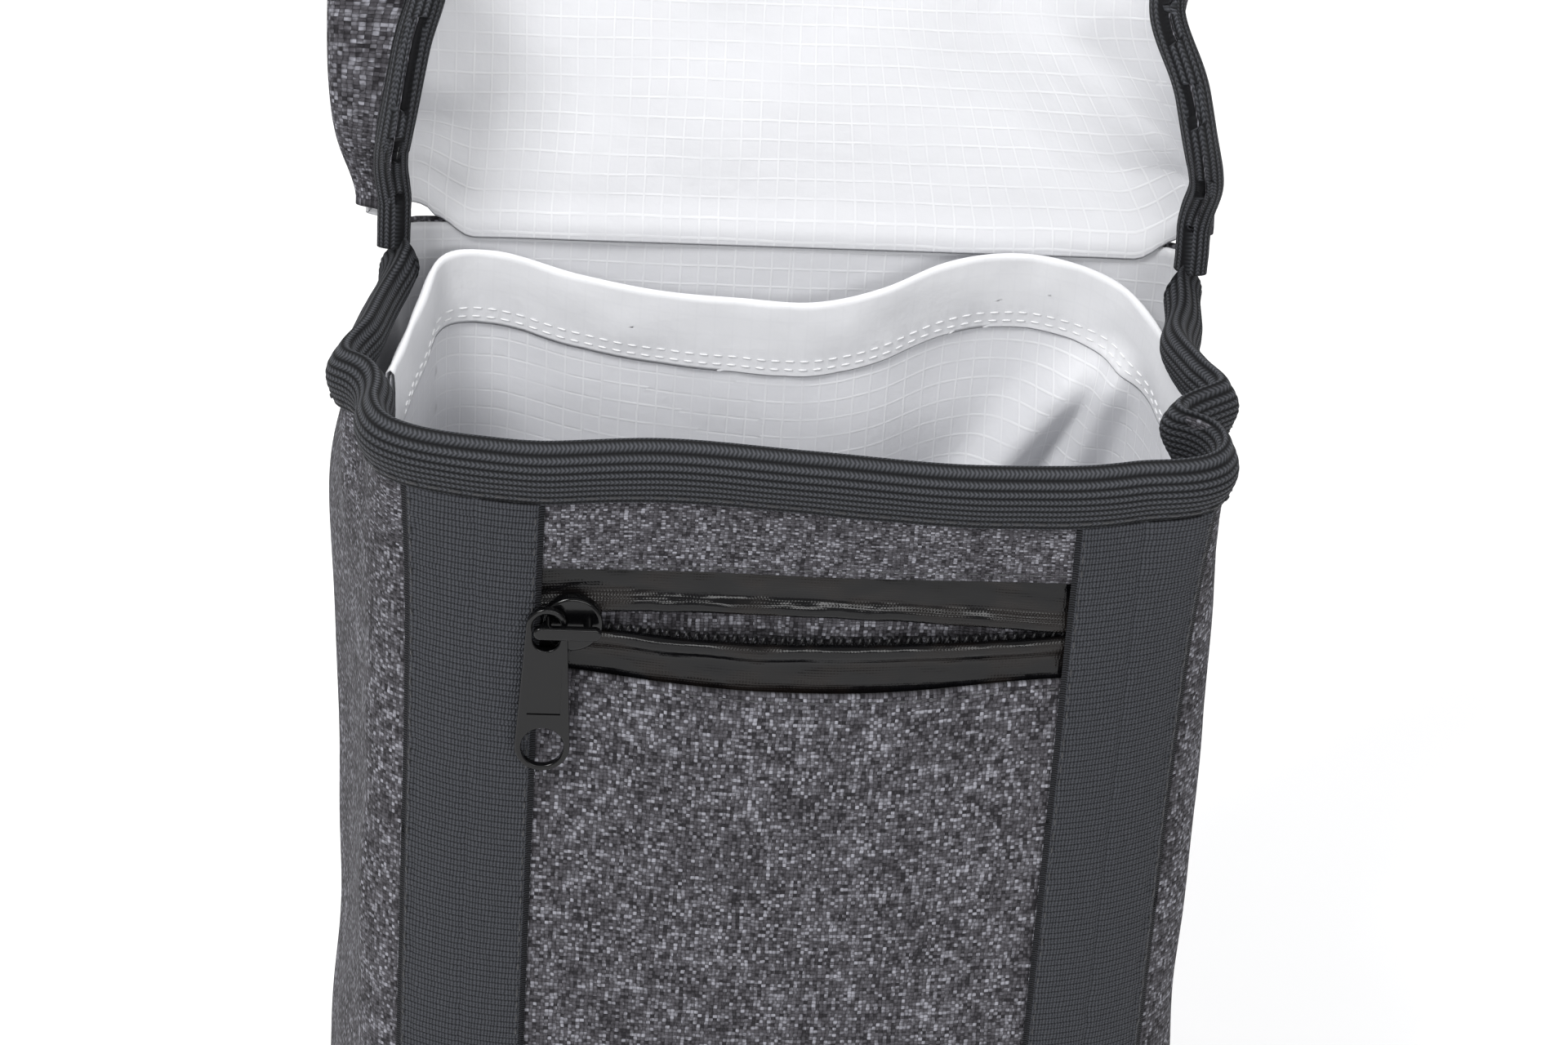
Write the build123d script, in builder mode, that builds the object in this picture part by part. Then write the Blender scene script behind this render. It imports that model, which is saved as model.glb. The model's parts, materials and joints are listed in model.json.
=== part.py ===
from build123d import *
import os
from math import atan2, cos, degrees, radians, sin

# A small flap-top courier bag.  Millimetres, +Z up, the front faces -Y, and the
# origin is the middle of the base's underside.

# --- Body of the bag -----------------------------------------------------------
FRONT_WIDTH = 165.0      # across the front corners
BACK_WIDTH = 180.0       # across the back corners
DEPTH = 85.0             # front face to back face
FRONT_HEIGHT = 230.0     # floor to the top edge of the front
MOUTH_RISE = 4.0         # how far the mouth's edge climbs from front to back
BACK_COLLAR = 4.0        # back panel above the mouth's edge, up to the flap
CORNER_RADIUS = 14.0     # upright corners, in plan
BROW_RADIUS = 50.0       # the front's wide curve before each corner
BROW_ANGLE = 35.0        # how far that curve turns
SEAM_INSET = 9.0         # front and back seams, in from the two faces

# --- Fabrics and boards --------------------------------------------------------
OUTER = 1.2              # melange outer fabric
LINING = 0.6             # ripstop lining
BASE_FABRIC = 1.5        # base panel
BOARD = 2.0              # stiffener in the base
FIT = 0.1                # ease round the board and the base lining

# --- Elastic binding -----------------------------------------------------------
BIND = 1.2               # one layer of the folded elastic
BIND_HEIGHT = 11.0       # half its flat width

# --- Hook and loop tapes -------------------------------------------------------
LOOP_WIDTH = 25.0
LOOP_THICK = 1.5
LOOP_CENTRE = 62.5       # out from the middle of the front
LOOP_FOOT = 6.0          # lower end above the floor
LOOP_HEAD_GAP = 0.2      # below the binding
HOOK_WIDTH = 18.0
HOOK_THICK = 1.5
HOOK_CENTRE = 66.0
HOOK_LENGTH = 95.0
HOOK_FOOT = 14.0         # hook tapes stop this short of the flap's end

# --- Zip -----------------------------------------------------------------------
ZIP_DROP = 37.5          # middle of the zip below the front's top edge
SLOT_HEIGHT = 25.0       # window cut in the front panel
SLOT_OVERLAP = 2.5       # window's ends run this far under the loop tapes
TAPE_THICK = 0.9
TAPE_HEM = 4.0           # zip tape behind the window's edges
COIL_GAP = 5.6           # between the two rows of teeth, unzipped
COIL_WIDTH = 2.4
COIL_THICK = 1.9

# --- Zip pocket ----------------------------------------------------------------
POCKET_DEPTH = 8.0
POCKET_SIDE = 7.0        # pocket wider than the zip, each side
POCKET_ABOVE = 20.0      # above the middle of the zip
POCKET_BELOW = 78.0
POCKET_WALL = 0.6

# --- Slider and puller ---------------------------------------------------------
SLIDER_LENGTH = 11.5
SLIDER_WIDTH = 11.5
SLIDER_NOSE = 2.6        # radius of the narrow end
SLIDER_CLEAR = 0.5       # slider plates off the tapes and teeth
SLIDER_CROWN = 2.1       # thickness of the front plate
SLIDER_SOLE = 1.2        # thickness of the plate behind the teeth
SLIDER_END_GAP = 0.3     # slider to the loop tape at the unzipped end
WEDGE_LENGTH = 4.0       # the wedge that joins the two plates
WEDGE_WIDTH = 3.2
BRIDGE_LENGTH = 12.8
BRIDGE_WIDTH = 2.6
BRIDGE_BAR = 1.4
BRIDGE_POST = 0.9        # radius of the bridge's two posts
BRIDGE_OVERHANG = 2.5    # bar past each post
TUNNEL = 2.6             # room under the bar
PULLER_THICK = 1.6
PULLER_EYE = 3.9         # outer radius of the round top
PULLER_EYE_HOLE = 2.7    # radius of the eye's two round ends
PULLER_EYE_RISE = 0.5    # centre of its upper end above the post
PULLER_EYE_REACH = 2.4   # between the centres of its two ends
PULLER_FOOT = 5.3        # outer radius of the round end
PULLER_FOOT_HOLE = 4.1
PULLER_LENGTH = 25.8     # post to foot centre
PULLER_EDGE = 0.4        # rounding of the puller's edges
PANEL_WIDTH = 6.4        # recessed panel on the puller
PANEL_TOP = 5.6          # its top below the post
PANEL_FOOT = 18.6
PANEL_DEEP = 0.3

# --- Inner pocket --------------------------------------------------------------
SLIP_OFF = 13.0          # slip pocket in front of the back face
SLIP_FOOT = 60.0         # its bottom above the floor
SLIP_DROP = 8.0          # its top edge below the front's top edge
SLIP_HEM = 15.0
HEM_THICK = 1.5
SLIP_EASE = 0.3          # short of the side linings

# --- Flap ----------------------------------------------------------------------
HINGE_RISE = 1.0         # hinge line above the back panel
HINGE_BACK = 0.8         # hinge line behind the back face
HINGE_GAP = 3.0          # free fabric on each side of a fold line
LEAN = 20.0              # how far the open flap leans back
TOP_LENGTH = 103.0       # hinge line to the fold over the front edge
DROP_LENGTH = 120.0      # fold to the flap's end
RETURN_RUN = 1.5         # side walls' clearance over the bound gussets
RETURN_DEPTH = 22.0
RETURN_RADIUS = 8.0
RETURN_SHORT = 14.0      # side walls stop this short of the fold
DROP_FLAT = 42.0         # half the flat middle of the flap's front
DROP_BROW = 70.0         # radius of its curved sides
DROP_HALF = 87.5         # half its width

# --- Worked out ----------------------------------------------------------------
STACK = OUTER + LINING
BACK_HEIGHT = FRONT_HEIGHT + MOUTH_RISE + BACK_COLLAR
WALL_FOOT = BASE_FABRIC
LINING_FOOT = BASE_FABRIC + BOARD + LINING
FRONT_Y = -DEPTH / 2
BACK_Y = DEPTH / 2
FRONT_SEAM = FRONT_Y + SEAM_INSET
BACK_SEAM = BACK_Y - SEAM_INSET
BROW_SIN = sin(radians(BROW_ANGLE))
BROW_COS = cos(radians(BROW_ANGLE))
FLAT_HALF = FRONT_WIDTH / 2 - CORNER_RADIUS - (BROW_RADIUS - CORNER_RADIUS) * BROW_SIN
CORNER_Y = FRONT_Y + BROW_RADIUS * (1 - BROW_COS) + CORNER_RADIUS * BROW_COS
FLARE = degrees(atan2((BACK_WIDTH - FRONT_WIDTH) / 2, BACK_Y - CORNER_RADIUS - CORNER_Y))
MOUTH_SLOPE = atan2(MOUTH_RISE, DEPTH)

ZIP_Z = FRONT_HEIGHT - ZIP_DROP
LOOP_INNER = LOOP_CENTRE - LOOP_WIDTH / 2
SLOT_HALF = LOOP_INNER + SLOT_OVERLAP
PANEL_BACK = FRONT_Y + OUTER
TAPE_BACK = PANEL_BACK + TAPE_THICK
TAPE_HEIGHT = SLOT_HEIGHT / 2 + TAPE_HEM - COIL_GAP / 2
SLIDER_X = -LOOP_INNER + SLIDER_END_GAP
CROWN_BACK = PANEL_BACK - SLIDER_CLEAR
CROWN_FRONT = CROWN_BACK - SLIDER_CROWN
SOLE_FRONT = TAPE_BACK + COIL_THICK + SLIDER_CLEAR
POST_X = SLIDER_X + BRIDGE_POST
BAR_BACK = CROWN_FRONT - TUNNEL
PULLER_Y = CROWN_FRONT - (TUNNEL - PULLER_THICK) / 2

POCKET_HALF = SLOT_HALF + POCKET_SIDE
POCKET_HEIGHT = POCKET_ABOVE + POCKET_BELOW
POCKET_Z = ZIP_Z - POCKET_BELOW + POCKET_HEIGHT / 2
SLIP_Y = BACK_Y - SLIP_OFF
SLIP_TOP = FRONT_HEIGHT - SLIP_DROP

HINGE = Vector(0, BACK_Y + HINGE_BACK, BACK_HEIGHT + HINGE_RISE)
ALONG = Vector(0, sin(radians(LEAN)), cos(radians(LEAN)))
FLAP_HALF = BACK_WIDTH / 2 + BIND + RETURN_RUN + BIND + STACK
SIDES = {"left": -1, "right": 1}

PIECES = {}


def keep_piece(name, piece):
    """Label a finished piece and hold it for export."""
    piece.label = name
    PIECES[name] = piece


def plan(inset=0.0, height=0.0):
    """The bag's plan as a face at a height, pulled in by inset."""
    with BuildSketch(Plane.XY.offset(height)) as outline:
        with BuildLine():
            front = Line((0, FRONT_Y + inset), (FLAT_HALF, FRONT_Y + inset))
            brow = JernArc(front @ 1, front % 1, BROW_RADIUS - inset, BROW_ANGLE)
            turn = 90 - BROW_ANGLE - FLARE
            corner = JernArc(brow @ 1, brow % 1, CORNER_RADIUS - inset, turn)
            back = Line((0, BACK_Y - inset), (BACK_WIDTH / 2 - CORNER_RADIUS, BACK_Y - inset))
            heel = JernArc(back @ 1, back % 1, CORNER_RADIUS - inset, -90 - FLARE)
            Line(corner @ 1, heel @ 1)
            mirror(about=Plane.YZ)
        make_face()
    return outline.sketch


def band(outer, inner, height):
    """A ring of wall between two insets of the plan."""
    with BuildSketch(Plane.XY.offset(height)) as ring:
        add(plan(outer))
        add(plan(inner), mode=Mode.SUBTRACT)
    return ring.sketch


def mouth_plane(rise=0.0):
    """The sloping plane of the mouth's edge, lifted by rise along its normal."""
    normal = Vector(0, -sin(MOUTH_SLOPE), cos(MOUTH_SLOPE))
    return Plane(Vector(0, FRONT_Y, FRONT_HEIGHT) + normal * rise, x_dir=(1, 0, 0), z_dir=normal)


def across(y):
    """An upright plane that faces the back, at a depth."""
    return Plane((0, y, 0), x_dir=(1, 0, 0), z_dir=(0, 1, 0))


def flap_plane(distance):
    """The plane across the open flap at a distance from its hinge line."""
    return Plane(HINGE + ALONG * distance, x_dir=(1, 0, 0), z_dir=ALONG)


def wall(outer, inner, foot):
    """The whole upright wall between two insets, cut to the mouth's edge."""
    with BuildPart() as ring:
        extrude(band(outer, inner, foot), amount=BACK_HEIGHT - foot + BIND_HEIGHT)
        split(bisect_by=mouth_plane(), keep=Keep.BOTTOM)
    return ring.part


def shell(name, outer, inner, foot):
    """The front and the two gussets of one layer of the wall, sewn at the front and back seams."""
    layer = wall(outer, inner, foot)
    with BuildPart() as front:
        add(layer)
        split(bisect_by=across(FRONT_SEAM), keep=Keep.BOTTOM)
    with BuildPart() as gussets:
        add(layer)
        split(bisect_by=across(FRONT_SEAM), keep=Keep.TOP)
        split(bisect_by=across(BACK_SEAM), keep=Keep.BOTTOM)
    for side, sign in SIDES.items():
        with BuildPart() as gusset:
            add(gussets.part)
            split(bisect_by=Plane.YZ, keep=Keep.TOP if sign > 0 else Keep.BOTTOM)
        keep_piece(f"{side}_{name}", gusset.part)
    return front.part


def back_wall(outer, inner, foot):
    """One layer of the back: its corners stop at the mouth's edge, its middle at a collar."""
    with BuildPart() as corner_cut:
        extrude(plan(0, FRONT_HEIGHT), amount=2 * BACK_COLLAR + MOUTH_RISE)
        split(bisect_by=mouth_plane(), keep=Keep.TOP)
        split(bisect_by=across(BACK_Y - STACK), keep=Keep.BOTTOM)
    with BuildPart() as back:
        extrude(band(outer, inner, foot), amount=BACK_HEIGHT - foot)
        split(bisect_by=across(BACK_SEAM), keep=Keep.TOP)
        add(corner_cut.part, mode=Mode.SUBTRACT)
    return back.part


def pocket_block(wall_thickness):
    """The zip pocket's outside, grown by a wall, cut to the curve of the front's inner face."""
    with BuildPart() as block:
        extrude(plan(OUTER), amount=FRONT_HEIGHT)
        with Locations((0, PANEL_BACK + (POCKET_DEPTH + wall_thickness) / 2, POCKET_Z)):
            Box(
                2 * (POCKET_HALF + wall_thickness),
                POCKET_DEPTH + wall_thickness,
                POCKET_HEIGHT + 2 * wall_thickness,
                mode=Mode.INTERSECT,
            )
    return block.part


def window_box(half_width, height, centre_z, depth):
    """A box straddling the front face, for cutting or trimming what lies on it."""
    with BuildPart() as box:
        with Locations((0, FRONT_Y, centre_z)):
            Box(2 * half_width, 2 * depth, height)
    return box.part


# --- Outer fabric --------------------------------------------------------------
front_outer = shell("gusset", 0, OUTER, WALL_FOOT)
with BuildPart() as front_panel:
    add(front_outer)
    add(window_box(SLOT_HALF, SLOT_HEIGHT, ZIP_Z, SEAM_INSET), mode=Mode.SUBTRACT)
keep_piece("front_panel", front_panel.part)

keep_piece("back_panel", back_wall(0, OUTER, WALL_FOOT))

with BuildPart() as base_panel:
    extrude(plan(0), amount=BASE_FABRIC)
keep_piece("base_panel", base_panel.part)

with BuildPart() as base_board:
    extrude(plan(OUTER + FIT, BASE_FABRIC), amount=BOARD)
keep_piece("base_board", base_board.part)

# --- Zip pocket and lining -----------------------------------------------------
pocket_outside = pocket_block(0)
with BuildPart() as zip_pocket_bag:
    add(pocket_outside)
    add(
        window_box(
            POCKET_HALF - POCKET_WALL,
            POCKET_HEIGHT - 2 * POCKET_WALL,
            POCKET_Z,
            OUTER + POCKET_DEPTH - POCKET_WALL,
        ),
        mode=Mode.SUBTRACT,
    )
keep_piece("zip_pocket_bag", zip_pocket_bag.part)

front_layer = shell("lining", OUTER, STACK, LINING_FOOT)
with BuildPart() as front_lining:
    add(front_layer)
    add(pocket_block(LINING))
    add(pocket_outside, mode=Mode.SUBTRACT)
keep_piece("front_lining", front_lining.part)

keep_piece("back_lining", back_wall(OUTER, STACK, LINING_FOOT))

with BuildPart() as base_lining:
    extrude(plan(OUTER + FIT, BASE_FABRIC + BOARD), amount=LINING)
keep_piece("base_lining", base_lining.part)

# --- Inner slip pocket ---------------------------------------------------------
with BuildPart() as slip_space:
    extrude(plan(STACK + SLIP_EASE, SLIP_FOOT), amount=SLIP_TOP - SLIP_FOOT)
with BuildPart() as inner_pocket:
    add(slip_space.part)
    split(bisect_by=across(SLIP_Y), keep=Keep.TOP)
    with Locations((0, SLIP_Y + LINING, SLIP_FOOT + LINING)):
        Box(BACK_WIDTH, DEPTH, SLIP_TOP, align=(Align.CENTER, Align.MIN, Align.MIN), mode=Mode.SUBTRACT)
    split(bisect_by=Plane.XY.offset(SLIP_TOP - SLIP_HEM), keep=Keep.BOTTOM)
keep_piece("inner_pocket", inner_pocket.part)

with BuildPart() as inner_pocket_hem:
    add(slip_space.part)
    split(bisect_by=across(SLIP_Y), keep=Keep.TOP)
    split(bisect_by=across(SLIP_Y + HEM_THICK), keep=Keep.BOTTOM)
    split(bisect_by=Plane.XY.offset(SLIP_TOP - SLIP_HEM), keep=Keep.TOP)
keep_piece("inner_pocket_hem", inner_pocket_hem.part)

# --- Elastic binding round the mouth -------------------------------------------
with BuildPart() as mouth_binding:
    extrude(band(-BIND, STACK + BIND, FRONT_HEIGHT - 2 * BIND_HEIGHT), amount=4 * BIND_HEIGHT)
    split(bisect_by=mouth_plane(BIND), keep=Keep.BOTTOM)
    split(bisect_by=mouth_plane(-BIND_HEIGHT), keep=Keep.TOP)
    add(wall(0, STACK, WALL_FOOT), mode=Mode.SUBTRACT)
    split(bisect_by=across(BACK_SEAM), keep=Keep.BOTTOM)
keep_piece("mouth_binding", mouth_binding.part)

# --- Loop tapes ----------------------------------------------------------------
for side, sign in SIDES.items():
    with BuildPart() as loop_tape:
        extrude(band(-LOOP_THICK, 0, LOOP_FOOT), amount=FRONT_HEIGHT)
        split(bisect_by=mouth_plane(-BIND_HEIGHT - LOOP_HEAD_GAP), keep=Keep.BOTTOM)
        with Locations((sign * LOOP_CENTRE, FRONT_Y, FRONT_HEIGHT / 2)):
            Box(LOOP_WIDTH, 2 * BROW_RADIUS, 2 * FRONT_HEIGHT, mode=Mode.INTERSECT)
    keep_piece(f"loop_tape_{side}", loop_tape.part)

# --- Zip tapes and teeth -------------------------------------------------------
for row, sign in {"upper": 1, "lower": -1}.items():
    low = ZIP_Z + COIL_GAP / 2 if sign > 0 else ZIP_Z - COIL_GAP / 2 - TAPE_HEIGHT
    with BuildPart() as zip_tape:
        extrude(band(OUTER, OUTER + TAPE_THICK, low), amount=TAPE_HEIGHT)
        add(window_box(SLOT_HALF + TAPE_HEM, FRONT_HEIGHT, ZIP_Z, SEAM_INSET), mode=Mode.INTERSECT)
    keep_piece(f"zip_tape_{row}", zip_tape.part)
    low = ZIP_Z + COIL_GAP / 2 if sign > 0 else ZIP_Z - COIL_GAP / 2 - COIL_WIDTH
    with BuildPart() as zip_coil:
        coil_foot = OUTER + TAPE_THICK
        extrude(band(coil_foot, coil_foot + COIL_THICK, low), amount=COIL_WIDTH)
        add(window_box(SLOT_HALF, FRONT_HEIGHT, ZIP_Z, SEAM_INSET), mode=Mode.INTERSECT)
    keep_piece(f"zip_coil_{row}", zip_coil.part)


# --- Slider, bridge and puller -------------------------------------------------
def egg(y):
    """The slider's egg-shaped plate outline at a depth, narrow end to the left."""
    shoulder = SLIDER_WIDTH / 2
    with BuildSketch(Plane((0, y, ZIP_Z), x_dir=(1, 0, 0), z_dir=(0, -1, 0))) as outline:
        with Locations((SLIDER_X + SLIDER_NOSE, 0)):
            Circle(SLIDER_NOSE)
        with Locations((SLIDER_X + SLIDER_LENGTH - shoulder, 0)):
            Circle(shoulder)
        make_hull()
    return outline.sketch


with BuildPart() as zip_slider:
    extrude(egg(CROWN_BACK), amount=SLIDER_CROWN)
    fillet(zip_slider.faces().sort_by(Axis.Y)[0].edges(), radius=SLIDER_CROWN / 3)
    extrude(egg(SOLE_FRONT + SLIDER_SOLE), amount=SLIDER_SOLE)
    with Locations((SLIDER_X + SLIDER_LENGTH - WEDGE_LENGTH, (CROWN_BACK + SOLE_FRONT) / 2, ZIP_Z)):
        Box(WEDGE_LENGTH, SOLE_FRONT - CROWN_BACK, WEDGE_WIDTH)
keep_piece("zip_slider", zip_slider.part)

far_post = POST_X + BRIDGE_LENGTH - 2 * BRIDGE_OVERHANG
with BuildPart() as slider_bridge:
    with BuildSketch(Plane((0, CROWN_FRONT, ZIP_Z), x_dir=(1, 0, 0), z_dir=(0, -1, 0))):
        with Locations((POST_X, 0), (far_post, 0)):
            Circle(BRIDGE_POST)
    extrude(amount=TUNNEL)
    with BuildSketch(Plane((0, BAR_BACK, ZIP_Z), x_dir=(1, 0, 0), z_dir=(0, -1, 0))):
        with Locations(((POST_X + far_post) / 2, 0)):
            SlotOverall(BRIDGE_LENGTH, BRIDGE_WIDTH)
    extrude(amount=BRIDGE_BAR)
    fillet(slider_bridge.faces().sort_by(Axis.Y)[0].edges(), radius=BRIDGE_BAR / 3)
keep_piece("slider_bridge", slider_bridge.part)

with BuildPart() as zip_puller:
    with BuildSketch(Plane((POST_X, PULLER_Y, ZIP_Z), x_dir=(1, 0, 0), z_dir=(0, -1, 0))):
        with Locations((0, PULLER_EYE_RISE)):
            Circle(PULLER_EYE)
        with Locations((0, -PULLER_LENGTH)):
            Circle(PULLER_FOOT)
        make_hull()
        with Locations((0, PULLER_EYE_RISE - PULLER_EYE_REACH / 2)):
            SlotCenterToCenter(PULLER_EYE_REACH, 2 * PULLER_EYE_HOLE, rotation=90, mode=Mode.SUBTRACT)
        with Locations((0, -PULLER_LENGTH)):
            Circle(PULLER_FOOT_HOLE, mode=Mode.SUBTRACT)
    extrude(amount=PULLER_THICK)
    faces = zip_puller.faces().sort_by(Axis.Y)
    fillet(faces[0].edges() + faces[-1].edges(), radius=PULLER_EDGE)
    with BuildSketch(Plane((POST_X, PULLER_Y - PULLER_THICK, ZIP_Z), x_dir=(1, 0, 0), z_dir=(0, -1, 0))):
        with Locations((0, -PANEL_TOP - PANEL_WIDTH / 2)):
            Circle(PANEL_WIDTH / 2)
        with Locations((0, -PANEL_TOP - PANEL_WIDTH / 2)):
            Rectangle(PANEL_WIDTH, PANEL_FOOT - PANEL_TOP - PANEL_WIDTH / 2, align=(Align.CENTER, Align.MAX))
    extrude(amount=-PANEL_DEEP, mode=Mode.SUBTRACT)
keep_piece("zip_puller", zip_puller.part)


# --- Flap over the mouth -------------------------------------------------------
def tray(inset, distance):
    """The flap's section, a web with two side walls, pulled in by inset and filled."""
    half = FLAP_HALF - inset
    with BuildSketch(flap_plane(distance)) as section:
        with BuildLine():
            foot = Line((0, -RETURN_DEPTH), (half, -RETURN_DEPTH))
            side = Line(foot @ 1, (half, -RETURN_RADIUS))
            bend = JernArc(side @ 1, side % 1, RETURN_RADIUS - inset, 90)
            Line(bend @ 1, (0, -inset))
            mirror(about=Plane.YZ)
        make_face()
    return section.sketch


def tray_wall(outer, inner, start, length):
    """The flap's web and side walls between two insets."""
    with BuildPart() as walls:
        extrude(tray(outer, start), amount=length)
        extrude(tray(inner, start), amount=length, mode=Mode.SUBTRACT)
    return walls.part


def web(top, bottom, start, length):
    """A flat sheet across the middle of the flap, between two depths below its outer face."""
    with BuildSketch(flap_plane(start)) as section:
        with Locations((0, -top)):
            Rectangle(2 * WEB_HALF, bottom - top, align=(Align.CENTER, Align.MAX))
    with BuildPart() as sheet:
        extrude(section.sketch, amount=length)
    return sheet.part


WEB_HALF = FLAP_HALF - RETURN_RADIUS
TOP_RUN = TOP_LENGTH - 2 * HINGE_GAP
RETURN_LENGTH = TOP_LENGTH - RETURN_SHORT - HINGE_GAP

keep_piece("flap_top_panel", web(0, OUTER, HINGE_GAP, TOP_RUN))
outer_tray = tray_wall(0, OUTER, HINGE_GAP, RETURN_LENGTH)
lining_tray = tray_wall(OUTER, STACK, HINGE_GAP, RETURN_LENGTH)
with BuildPart() as flap_top_lining:
    add(lining_tray)
    add(web(OUTER, STACK, HINGE_GAP, TOP_RUN))
keep_piece("flap_top_lining", flap_top_lining.part)

for side, sign in SIDES.items():
    beyond_web = Plane((sign * WEB_HALF, 0, 0), x_dir=(0, 1, 0), z_dir=(sign, 0, 0))
    with BuildPart() as flap_return:
        add(outer_tray)
        split(bisect_by=beyond_web, keep=Keep.TOP)
    keep_piece(f"flap_return_{side}", flap_return.part)
    with BuildPart() as side_binding:
        with BuildSketch(flap_plane(HINGE_GAP)):
            with Locations((sign * (FLAP_HALF - STACK / 2), -RETURN_DEPTH - BIND)):
                Rectangle(STACK + 2 * BIND, BIND_HEIGHT, align=(Align.CENTER, Align.MIN))
            with Locations((sign * (FLAP_HALF - STACK / 2), -RETURN_DEPTH)):
                Rectangle(
                    STACK, BIND_HEIGHT, align=(Align.CENTER, Align.MIN), mode=Mode.SUBTRACT
                )
        extrude(amount=RETURN_LENGTH)
    keep_piece(f"flap_side_binding_{side}", side_binding.part)


# --- Front of the flap ---------------------------------------------------------
def drop_section(inset, distance, half):
    """The filled section of the flap's front, flat in the middle with curved sides."""
    radius = DROP_BROW - inset
    deep = 2 * DROP_BROW
    with BuildSketch(flap_plane(distance)) as section:
        with BuildLine():
            middle = Line((0, -inset), (DROP_FLAT, -inset))
            brow = JernArc(middle @ 1, middle % 1, radius, -90)
            side = Line(brow @ 1, (DROP_FLAT + radius, -deep))
            Line(side @ 1, (0, -deep))
            mirror(about=Plane.YZ)
        make_face()
        Rectangle(2 * half, 2 * DROP_BROW, mode=Mode.INTERSECT)
    return section.sketch


def drop_wall(outer, inner, half, start, length):
    """One layer of the flap's front between two insets."""
    with BuildPart() as layer:
        extrude(drop_section(outer, start, half), amount=length)
        extrude(drop_section(inner, start, half), amount=length, mode=Mode.SUBTRACT)
    return layer.part


DROP_START = TOP_LENGTH + HINGE_GAP
DROP_RUN = DROP_LENGTH - HINGE_GAP

keep_piece("flap_front_panel", drop_wall(0, OUTER, DROP_HALF, DROP_START, DROP_RUN))
keep_piece("flap_front_lining", drop_wall(OUTER, STACK, DROP_HALF, DROP_START, DROP_RUN))

with BuildPart() as flap_front_binding:
    add(drop_wall(-BIND, STACK + BIND, DROP_HALF + BIND, DROP_START, DROP_RUN + BIND))
    add(drop_wall(0, STACK, DROP_HALF, DROP_START, DROP_RUN), mode=Mode.SUBTRACT)
    with BuildSketch(flap_plane(DROP_START)):
        Rectangle(2 * (DROP_HALF + BIND - BIND_HEIGHT), 2 * DROP_BROW)
    extrude(amount=DROP_RUN - BIND_HEIGHT, mode=Mode.SUBTRACT)
keep_piece("flap_front_binding", flap_front_binding.part)

hook_start = TOP_LENGTH + DROP_LENGTH - HOOK_FOOT - HOOK_LENGTH
hook_layer = drop_wall(STACK, STACK + HOOK_THICK, DROP_HALF, hook_start, HOOK_LENGTH)
for side, sign in SIDES.items():
    with BuildPart() as hook_tape:
        add(hook_layer)
        with BuildSketch(flap_plane(hook_start)):
            with Locations((sign * HOOK_CENTRE, 0)):
                Rectangle(HOOK_WIDTH, 2 * DROP_BROW)
        extrude(amount=HOOK_LENGTH, mode=Mode.INTERSECT)
    keep_piece(f"hook_tape_{side}", hook_tape.part)

# --- Export --------------------------------------------------------------------
os.makedirs("parts", exist_ok=True)
for name, piece in PIECES.items():
    export_step(piece, f"parts/{name}.step")
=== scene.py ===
"""A small flap-top courier bag: woven shell, ripstop lining, knitted binding, tapes and zip.

Run as a script: it builds every soft piece over the packed frame, finishes the carried-over
metal parts, and sets the stage. All shapes are worked out in millimetres and stored in metres.
"""

import json
import math

import bmesh
import bpy
import numpy as np
from mathutils import Matrix, Vector


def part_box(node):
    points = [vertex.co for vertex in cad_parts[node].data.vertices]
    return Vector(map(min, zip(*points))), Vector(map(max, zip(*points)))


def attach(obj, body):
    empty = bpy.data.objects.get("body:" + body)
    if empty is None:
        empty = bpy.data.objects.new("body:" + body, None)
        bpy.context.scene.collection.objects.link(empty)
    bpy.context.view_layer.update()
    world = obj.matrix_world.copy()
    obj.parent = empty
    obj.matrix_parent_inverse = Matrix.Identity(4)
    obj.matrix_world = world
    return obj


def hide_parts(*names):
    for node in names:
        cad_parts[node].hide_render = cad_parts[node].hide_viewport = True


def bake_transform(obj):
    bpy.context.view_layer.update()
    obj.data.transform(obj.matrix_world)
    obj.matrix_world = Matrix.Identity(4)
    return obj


bl_info = {
    "name": "Flap-top courier bag",
    "version": (1, 0, 0),
    "blender": (4, 5, 0),
    "location": "View3D > Sidebar > Courier bag",
    "description": "Builds a small courier bag's fabric, lining, binding, tapes and zip",
    "category": "Add Mesh",
}

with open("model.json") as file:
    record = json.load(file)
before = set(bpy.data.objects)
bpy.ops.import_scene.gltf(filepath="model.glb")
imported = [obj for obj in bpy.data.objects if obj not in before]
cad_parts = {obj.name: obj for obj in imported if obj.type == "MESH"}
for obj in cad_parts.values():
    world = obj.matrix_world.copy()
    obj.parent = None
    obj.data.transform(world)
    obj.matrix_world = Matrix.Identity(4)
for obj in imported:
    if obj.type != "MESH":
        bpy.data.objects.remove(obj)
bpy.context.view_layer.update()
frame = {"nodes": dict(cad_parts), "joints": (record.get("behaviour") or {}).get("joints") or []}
MM = 0.001


def node_box(name):
    """A frame node's lowest and highest corners, in millimetres."""
    low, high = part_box(name)
    return np.array(low) / MM, np.array(high) / MM


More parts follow.
